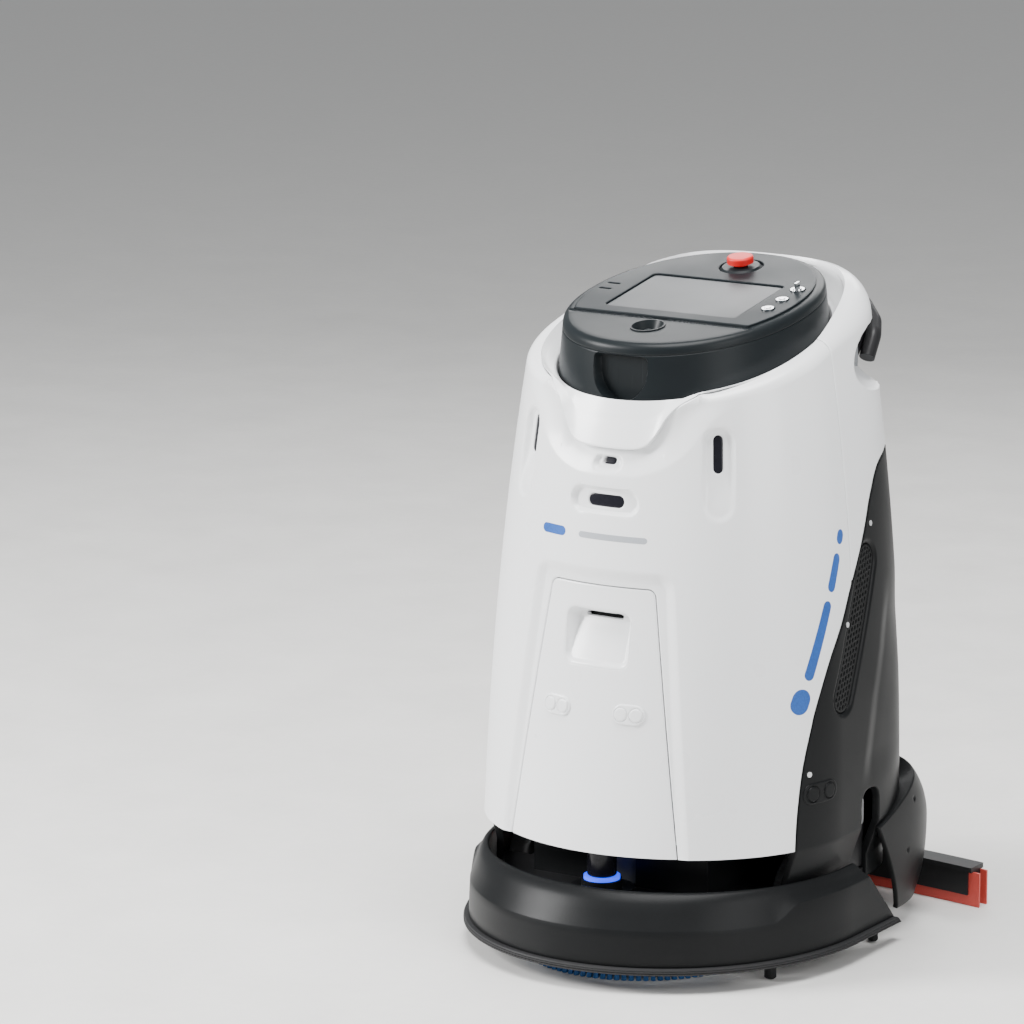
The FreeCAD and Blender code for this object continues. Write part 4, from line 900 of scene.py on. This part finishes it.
def build_fender():
    """Skirt round the rear wheels with a rolled lower edge."""
    z = np.linspace(FENDER_LEVELS[0], FENDER_LEVELS[-1], 110)
    angle, height = np.meshgrid(np.linspace(-0.35, math.pi + 0.35, 420), z)
    half = curve_through(z, FENDER_LEVELS, FENDER_HALVES)[:, None]
    rear = curve_through(z, FENDER_LEVELS, FENDER_REARS)[:, None]
    x, y = oval(angle, half, rear - FENDER_CENTRE, FENDER_CENTRE, FENDER_POWER)
    sheet = with_normals(x, y, height)
    below = [(-300.0, 300.0), (115.0, 182.0), (205.0, 35.0), (205.0, -50.0), (-300.0, -50.0)]
    edge = through(((96.0, 174.0), (130.0, 182.0), (165.0, 193.0), (215.0, 211.0), (270.0, 233.0),
                    (330.0, 256.0)))
    above = edge + [(420.0, 256.0), (420.0, 400.0), (60.0, 400.0), (60.0, 174.0)]
    notch = [(308.0, -50.0), (308.0, 108.0), (500.0, 108.0), (500.0, -50.0)]
    fields = [outside(lambda p, o=o: polygon_distance(p[:, 1], p[:, 2], o)) for o in (below, above, notch)]
    mesh = trim(sheet, *fields)
    screws = np.minimum(np.hypot(mesh[0][:, 1] - 212.0, mesh[0][:, 2] - 122.0),
                        np.hypot(mesh[0][:, 1] - 236.0, mesh[0][:, 2] - 196.0))
    depth = rim_rounding(mesh[0], fields) + 2.0 * (1 - smooth(2.2, 3.6, screws))
    top = smooth(2.5, 0.5, np.abs(fields[1](mesh[0]))) * smooth(120.0, 200.0, mesh[0][:, 1])
    piece("fender_skin", sink(mesh, depth, 5.0 + 22.0 * top), "chassis", "black_shell", ["rear_fender"])


def curve_through(places, knots, values):
    """Smooth values between knots."""
    line = through(list(zip(knots, values)), 10)
    return np.interp(places, [p[0] for p in line], [p[1] for p in line])


# Console

def plane_height(plane, y):
    return plane[0] + plane[1] * y


def top_place(points, x, y):
    """Distance from a place on the console's sloping top."""
    return np.hypot(points[:, 0] - x, (points[:, 1] - y) * math.hypot(1.0, TOP[1]))


def top_sheet(x_low, x_high, y_low, y_high, step, lift):
    x, y = np.meshgrid(np.arange(x_low, x_high + step, step), np.arange(y_low, y_high + step, step))
    return with_normals(x, y, plane_height(TOP, y) + lift)


def screen_field(grow):
    x, y, wide, deep = SCREEN
    half_wide = wide / 2 + grow
    half_deep = deep / 2 / math.hypot(1.0, TOP[1]) + grow
    corners = [(x + a * half_wide, y + b * half_deep) for a, b in ((1, -1), (1, 1), (-1, 1), (-1, -1))]
    outline = rounded(corners, SCREEN_CORNER)
    return lambda points: polygon_distance(points[:, 0], points[:, 1], outline)


def recess_field(points):
    """D-shaped hand recess in the console's front wall."""
    outline = [(46.0 * math.cos(t), 884.0 - 46.0 * math.sin(t)) for t in np.linspace(math.pi, 0, 24)]
    outline += rounded([(46.0, 880.0), (46.0, 908.0), (-46.0, 908.0), (-46.0, 880.0)], 9.0)[7:-7]
    value = polygon_distance(points[:, 0], points[:, 2], outline)
    return np.where((points[:, 1] < 0) & (points[:, 4] < -0.5), value, 60.0)


def build_console():
    """Lid wall with its rolled edge, hand recess and parting line, and the lower step of the top."""
    angles = np.unique(np.round(np.concatenate([
        np.linspace(-math.pi, math.pi, 420, endpoint=False),
        np.linspace(-math.pi / 2 - 0.34, -math.pi / 2 + 0.34, 130)]), 5))
    low_x, low_y = oval(angles, *CONSOLE_FOOT, CONSOLE_CENTRE, CONSOLE_POWER)
    high_x, high_y = oval(angles, *CONSOLE_RIM, CONSOLE_CENTRE, CONSOLE_POWER)
    low = np.stack([low_x, low_y, plane_height(BASE, low_y)], axis=-1)
    high = np.stack([high_x, high_y, plane_height(TOP, high_y)], axis=-1)
    tall = high[:, 2] - low[:, 2]
    inward = np.stack([-high_x, CONSOLE_CENTRE - high_y, TOP[1] * (CONSOLE_CENTRE - high_y)], axis=-1)
    inward /= np.linalg.norm(inward, axis=1, keepdims=True)
    rows = []
    drops = []
    for share in np.linspace(0.0, 1.0, 44):
        drop = (tall - WALL_TOP) * (1 - share) + WALL_TOP
        rows.append(high + (low - high) * (drop / tall)[:, None])
        drops.append(drop)
    for drop in ROLL_DROPS:
        short = max(CONSOLE_ROLL - drop, 0.0)
        lean = CONSOLE_ROLL - math.sqrt(CONSOLE_ROLL ** 2 - short ** 2)
        rows.append(high + (low - high) * (drop / tall)[:, None] + inward * lean)
        drops.append(np.full(tall.shape, drop))
    middle = np.array([0, CONSOLE_CENTRE, plane_height(TOP, CONSOLE_CENTRE)])
    for share in np.linspace(0.04, 0.985, 62):
        rows.append((high + inward * CONSOLE_ROLL) * (1 - share) + middle * share)
        drops.append(np.zeros(tall.shape))
    grid = np.stack(rows)
    points, faces = with_normals(grid[..., 0], grid[..., 1], grid[..., 2], closed=True)
    points = np.concatenate([points, np.stack(drops).reshape(-1, 1)], axis=1)
    mesh = cut((points, faces), LENS_HOLE - top_place(points, 0.0, LENS_Y))
    for level in (0.0, -1.2, -3.0):
        mesh = cut(mesh, recess_field(mesh[0]) - level, both=True)
    place = mesh[0]
    depth = np.maximum(-140.0 - place[:, 1], 0) * smooth(0.2, 2.8, -recess_field(place))
    depth += 1.1 * np.clip(1 - np.abs(place[:, 6] - PARTING_DROP) / 1.4, 0, 1)
    groove = np.clip(1 - np.abs(place[:, 1] - STEP_Y) / 2.6, 0, 1)
    depth += 3.0 * smooth(0.0, 0.6, groove) * (place[:, 6] <= 0) * (np.abs(place[:, 0]) < 168)
    points, faces = mesh
    shell = sink((points[:, :6], faces), depth, 5.0)
    piece("console_shell", shell, "console_lid", "console_plastic", ["console_housing"], angle=32.0)


def panel_field(points):
    """Oval of the raised panel, cut straight at the step across the top."""
    half_wide, half_deep = CONSOLE_PANEL
    share = (np.abs(points[:, 0]) / half_wide) ** CONSOLE_POWER
    share = share + (np.abs(points[:, 1] - CONSOLE_CENTRE) / half_deep) ** CONSOLE_POWER
    return np.maximum((share ** (1 / CONSOLE_POWER) - 1) * 175.0, -42.0 - points[:, 1])


def build_panel():
    """Raised panel with its screen window, switch holes and two short slots, and the screen set into it."""
    sheet = top_sheet(-170.0, 170.0, -44.0, 262.0, 2.4, PANEL_LIFT)
    holes = [outside(screen_field(0.6)), lambda p: STOP_HOLE - top_place(p, 0.0, STOP_Y)]
    for x, y, radius in SWITCHES:
        holes.append(lambda p, x=x, y=y, radius=radius: radius - top_place(p, x, y))
    for x, y in PANEL_SLOTS:
        holes.append(lambda p, x=x, y=y: -capsule_distance(p[:, 0] - x, p[:, 1] - y, 21.0, 4.4))
    fields = [panel_field, *holes]
    mesh = trim(sheet, *fields)
    panel = sink(mesh, 0.5 * rim_rounding(mesh[0], fields), PANEL_LIFT - 0.2)
    piece("panel_plate", panel, "console_lid", "panel_gloss", ["control_panel"])
    glass = trim(top_sheet(-114.0, 114.0, -22.0, 136.0, 3.0, 1.0), screen_field(-0.5))
    depth = 0.3 * rim_rounding(glass[0], (screen_field(-0.5),))
    piece("screen_glass_plate", sink(glass, depth, 1.0), "console_lid", "screen_glass", ["touch_screen"])


def build_accents():
    """Plain coloured bars laid on the white shell."""
    def laid_on(mesh, field):
        mesh = cut(mesh, field)
        return sink(mesh, np.full(len(mesh[0]), -0.15), 0.3)

    sheet = skin_patch(np.linspace(-0.62, 0.22, 190), np.linspace(380.0, 690.0, 150))
    up = sheet[0][:, 2] - SIDE_BAR_FOOT[1]
    back = sheet[0][:, 1] - SIDE_BAR_FOOT[0]
    along = back * SIDE_BAR_RISE[0] + up * SIDE_BAR_RISE[1]
    across = back * SIDE_BAR_RISE[1] - up * SIDE_BAR_RISE[0]
    side = join(*(laid_on(sheet, capsule_distance(along - start - length / 2, across, length, wide))
                  for start, length, wide in SIDE_BARS))
    piece("side_accent_left", side, "chassis", "accent_blue")
    piece("side_accent_right", mirror(side), "chassis", "accent_blue")
    sheet = front_patch(130.0, 632.0, 664.0, 2.0)
    for name, middle, length, tall, finish in FRONT_BARS:
        field = capsule_distance(sheet[0][:, 0] - middle, sheet[0][:, 2] - FRONT_BAR_Z, length, tall)
        piece(name, laid_on(sheet, field), "chassis", finish)


# Turned parts

def lathe(profile, centre, count=48, axis=(0, 0, 1), wobble=None):
    """Turned body from (radius, height) pairs about an axis through centre."""
    axis = Vector(axis).normalized()
    across = axis.orthogonal().normalized()
    other = axis.cross(across)
    points = []
    for radius, height in profile:
        for k in range(count):
            turn = 2 * math.pi * k / count
            reach = radius if wobble is None else wobble(radius, height, k)
            ray = across * math.cos(turn) + other * math.sin(turn)
            points.append(Vector(centre) + axis * height + ray * reach)
    faces = grid_faces(len(profile), count, True)
    return np.array([tuple(p) for p in points]), faces


def build_brush():
    """Rings of tufts that splay outwards under the disc."""
    centre = np.array(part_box("brush_disc")[0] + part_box("brush_disc")[1]) / 2 / MM - np.array(SHIFT)
    centre[2] = 0.0
    points = []
    faces = []
    for ring, (radius, count, splay) in enumerate(TUFT_RINGS):
        for k in range(count):
            turn = 2 * math.pi * (k + 0.5 * (ring % 2)) / count
            out = np.array([math.cos(turn), math.sin(turn), 0.0])
            along = np.array([-math.sin(turn), math.cos(turn), 0.0])
            base = len(points)
            for level, grow in TUFT_LEVELS:
                share = (44.0 - level) / 43.0
                middle = centre + out * (radius + splay * share ** 1.4) + np.array([0, 0, level])
                for corner in range(6):
                    a = math.pi * corner / 3
                    points.append(middle + out * grow * math.cos(a) + along * grow * math.sin(a))
            for row in (base, base + 6):
                for c in range(6):
                    d = (c + 1) % 6
                    faces.append((row + d, row + c, row + 6 + c, row + 6 + d))
            faces.append(tuple(base + 12 + c for c in reversed(range(6))))
    piece("brush_tufts", (np.array(points), faces), "brush", "bristle", ["brush_bristles"])


def build_tyres():
    """Tyres with a ribbed tread."""
    for side in ("left", "right"):
        low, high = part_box("tyre_" + side)
        centre = np.array((low + high) / 2) / MM - np.array(SHIFT)
        half = (high.x - low.x) / 2 / MM
        radius = (high.z - low.z) / 2 / MM
        profile = [(TYRE_BORE, -half + 2), (TYRE_BORE + 8, -half), (radius - 8, -half),
                   (radius - 2.5, -half + 2), (radius - 0.3, -half + 5)]
        profile += [(radius - 0.2, u) for u in (-10.0, -9.0, -1.0, 1.0, 9.0, 10.0)]
        profile += [(r, -h) for r, h in reversed(profile[:5])]

        def tread(reach, height, k):
            groove = 2.4 if k % 8 in (0, 1) and abs(height) > 4 and reach > radius - 1 else 0.0
            return reach - groove

        mesh = lathe(profile, tuple(centre), TREAD_STEPS, (1, 0, 0), tread)
        piece("tyre_tread_" + side, mesh, "wheel_" + side, "tyre_rubber", ["tyre_" + side])


# Finishes

def finish_material(name, colour, roughness, spread, bump, metal=0.0, scale=40.0, coat=0.0, glow=None,
                    glow_strength=0.0, shine=0.5):
    """Principled surface whose colour, roughness and height vary with layered noise."""
    material = bpy.data.materials.new(name)
    material.use_nodes = True
    tree = material.node_tree
    tree.nodes.clear()

    def node(kind, **values):
        """New node with values for its sockets; an underscore stands for a space in a socket's name."""
        made = tree.nodes.new("ShaderNode" + kind)
        for socket, value in values.items():
            made.inputs[socket.replace("_", " ")].default_value = value
        return made

    output = node("OutputMaterial")
    shader = node("BsdfPrincipled", Metallic=metal, Coat_Weight=coat, Coat_Roughness=0.12,
                  Specular_IOR_Level=shine)
    place = node("TexCoord").outputs["Object"]
    broad = node("TexNoise", Scale=6.0, Detail=3.0)
    fine = node("TexNoise", Scale=scale * 10, Detail=4.0)
    ramp = node("ValToRGB")
    for element, position, tone in zip(ramp.color_ramp.elements, (0.3, 0.7), (1 - spread, 1 + spread)):
        element.position = position
        element.color = tuple(min(1.0, c * tone) for c in colour) + (1.0,)
    blend = node("Math")
    blend.operation = "MULTIPLY_ADD"
    half = node("Math")
    half.operation = "MULTIPLY"
    blend.inputs[1].default_value = half.inputs[1].default_value = 0.5
    rough = node("MapRange", From_Min=0.3, From_Max=0.7, To_Min=roughness * 0.88,
                 To_Max=min(1.0, roughness * 1.15))
    relief = node("Bump", Strength=bump, Distance=0.002)
    for source, socket in ((place, broad.inputs["Vector"]), (place, fine.inputs["Vector"]),
                           (broad.outputs["Fac"], blend.inputs[0]), (fine.outputs["Fac"], half.inputs[0]),
                           (half.outputs[0], blend.inputs[2]), (blend.outputs[0], ramp.inputs["Fac"]),
                           (ramp.outputs["Color"], shader.inputs["Base Color"]),
                           (broad.outputs["Fac"], rough.inputs["Value"]),
                           (rough.outputs["Result"], shader.inputs["Roughness"]),
                           (fine.outputs["Fac"], relief.inputs["Height"]),
                           (relief.outputs["Normal"], shader.inputs["Normal"]),
                           (shader.outputs[0], output.inputs[0])):
        tree.links.new(source, socket)
    if glow:
        shader.inputs["Emission Color"].default_value = glow + (1.0,)
        shader.inputs["Emission Strength"].default_value = glow_strength
    return material


# Colour, roughness, spread of the colour, bump and other settings of every finish
LOOKS = {
    "white_shell": ((0.86, 0.87, 0.88), 0.30, 0.012, 0.01, dict(coat=0.2)),
    "black_shell": ((0.007, 0.0075, 0.008), 0.38, 0.15, 0.05, dict(shine=0.12)),
    "console_plastic": ((0.008, 0.0105, 0.012), 0.36, 0.06, 0.02, dict(shine=0.16)),
    "panel_gloss": ((0.008, 0.011, 0.013), 0.38, 0.05, 0.01, dict(shine=0.14)),
    "screen_glass": ((0.012, 0.015, 0.018), 0.30, 0.05, 0.0, dict(shine=0.22)),
    "lens": ((0.010, 0.010, 0.014), 0.16, 0.4, 0.0, dict(shine=0.22)),
    "rubber_black": ((0.016, 0.016, 0.017), 0.62, 0.12, 0.10, dict(shine=0.3)),
    "tyre_rubber": ((0.045, 0.045, 0.046), 0.72, 0.15, 0.15, {}),
    "blade_rubber": ((0.52, 0.060, 0.045), 0.50, 0.08, 0.05, {}),
    "bristle": ((0.018, 0.11, 0.32), 0.55, 0.25, 0.10, dict(scale=80.0)),
    "steel": ((0.72, 0.73, 0.74), 0.35, 0.05, 0.03, dict(metal=0.6)),
    "chrome": ((0.78, 0.79, 0.80), 0.12, 0.04, 0.01, dict(metal=1.0)),
    "painted_black": ((0.012, 0.012, 0.013), 0.40, 0.12, 0.05, dict(shine=0.3)),
    "red_plastic": ((0.60, 0.012, 0.012), 0.36, 0.06, 0.01, dict(shine=0.3)),
    "tank_plastic": ((0.50, 0.55, 0.58), 0.45, 0.05, 0.03, {}),
    "battery_case": ((0.05, 0.055, 0.06), 0.50, 0.10, 0.05, {}),
    "grey_plastic": ((0.22, 0.23, 0.24), 0.42, 0.08, 0.04, {}),
    "brass": ((0.66, 0.45, 0.16), 0.25, 0.08, 0.02, dict(metal=1.0)),
    "accent_blue": ((0.010, 0.085, 0.36), 0.35, 0.35, 0.01, {}),
    "accent_grey": ((0.36, 0.38, 0.41), 0.35, 0.05, 0.01, {}),
    "light": ((0.05, 0.12, 0.80), 0.35, 0.06, 0.02, dict(glow=(0.01, 0.05, 1.0), glow_strength=2.0)),
}
FINISHES = {name: finish_material(name, *look, **settings) for name, (*look, settings) in LOOKS.items()}


def finish_nodes():
    """Give every CAD node the material of its slot."""
    for part in frame["record"]["subparts"]:
        materials = NODES[part["node"]].data.materials
        materials.clear()
        materials.append(FINISHES[part["material_slot"]])


# Camera, light, floor

def point_at(obj, place, aim):
    obj.location = place
    obj.rotation_euler = (Vector(aim) - obj.location).to_track_quat("-Z", "Y").to_euler()


def build_camera():
    data = bpy.data.cameras.new("camera")
    data.lens = LENS_MM
    data.sensor_width = SENSOR_MM
    camera = in_scene("camera", data)
    point_at(camera, EYE, TARGET)
    bpy.context.scene.camera = camera


def build_light():
    for name, (place, aim, size, power) in LIGHTS.items():
        data = bpy.data.lights.new(name, "AREA")
        data.shape = "RECTANGLE"
        data.size, data.size_y = size
        data.energy = power
        point_at(in_scene(name, data), place, aim)
    world = bpy.data.worlds.new("studio")
    world.use_nodes = True
    background = world.node_tree.nodes["Background"]
    background.inputs["Color"].default_value, background.inputs["Strength"].default_value = SKY
    bpy.context.scene.world = world


def build_floor():
    """Wide level floor in a plain pale finish."""
    steps = np.linspace(-FLOOR_HALF, FLOOR_HALF, 9)
    x, y = np.meshgrid(steps, steps)
    places = np.stack([x.ravel(), y.ravel(), 0 * x.ravel()], axis=1)
    data = bpy.data.meshes.new("floor")
    data.from_pydata(places.tolist(), [], grid_faces(len(steps), len(steps), False))
    floor = in_scene("floor", data)
    pale = finish_material("floor", (0.74, 0.73, 0.71), 0.50, 0.03, 0.03, scale=4.0)
    data.materials.append(pale)


build_camera()
build_light()
build_floor()
finish_nodes()
build_white_shells()
build_windows()
build_door()
build_pods()
build_black_shell()
build_grilles()
build_brackets()
build_bumper()
build_fender()
build_console()
build_panel()
build_accents()
build_brush()
build_tyres()
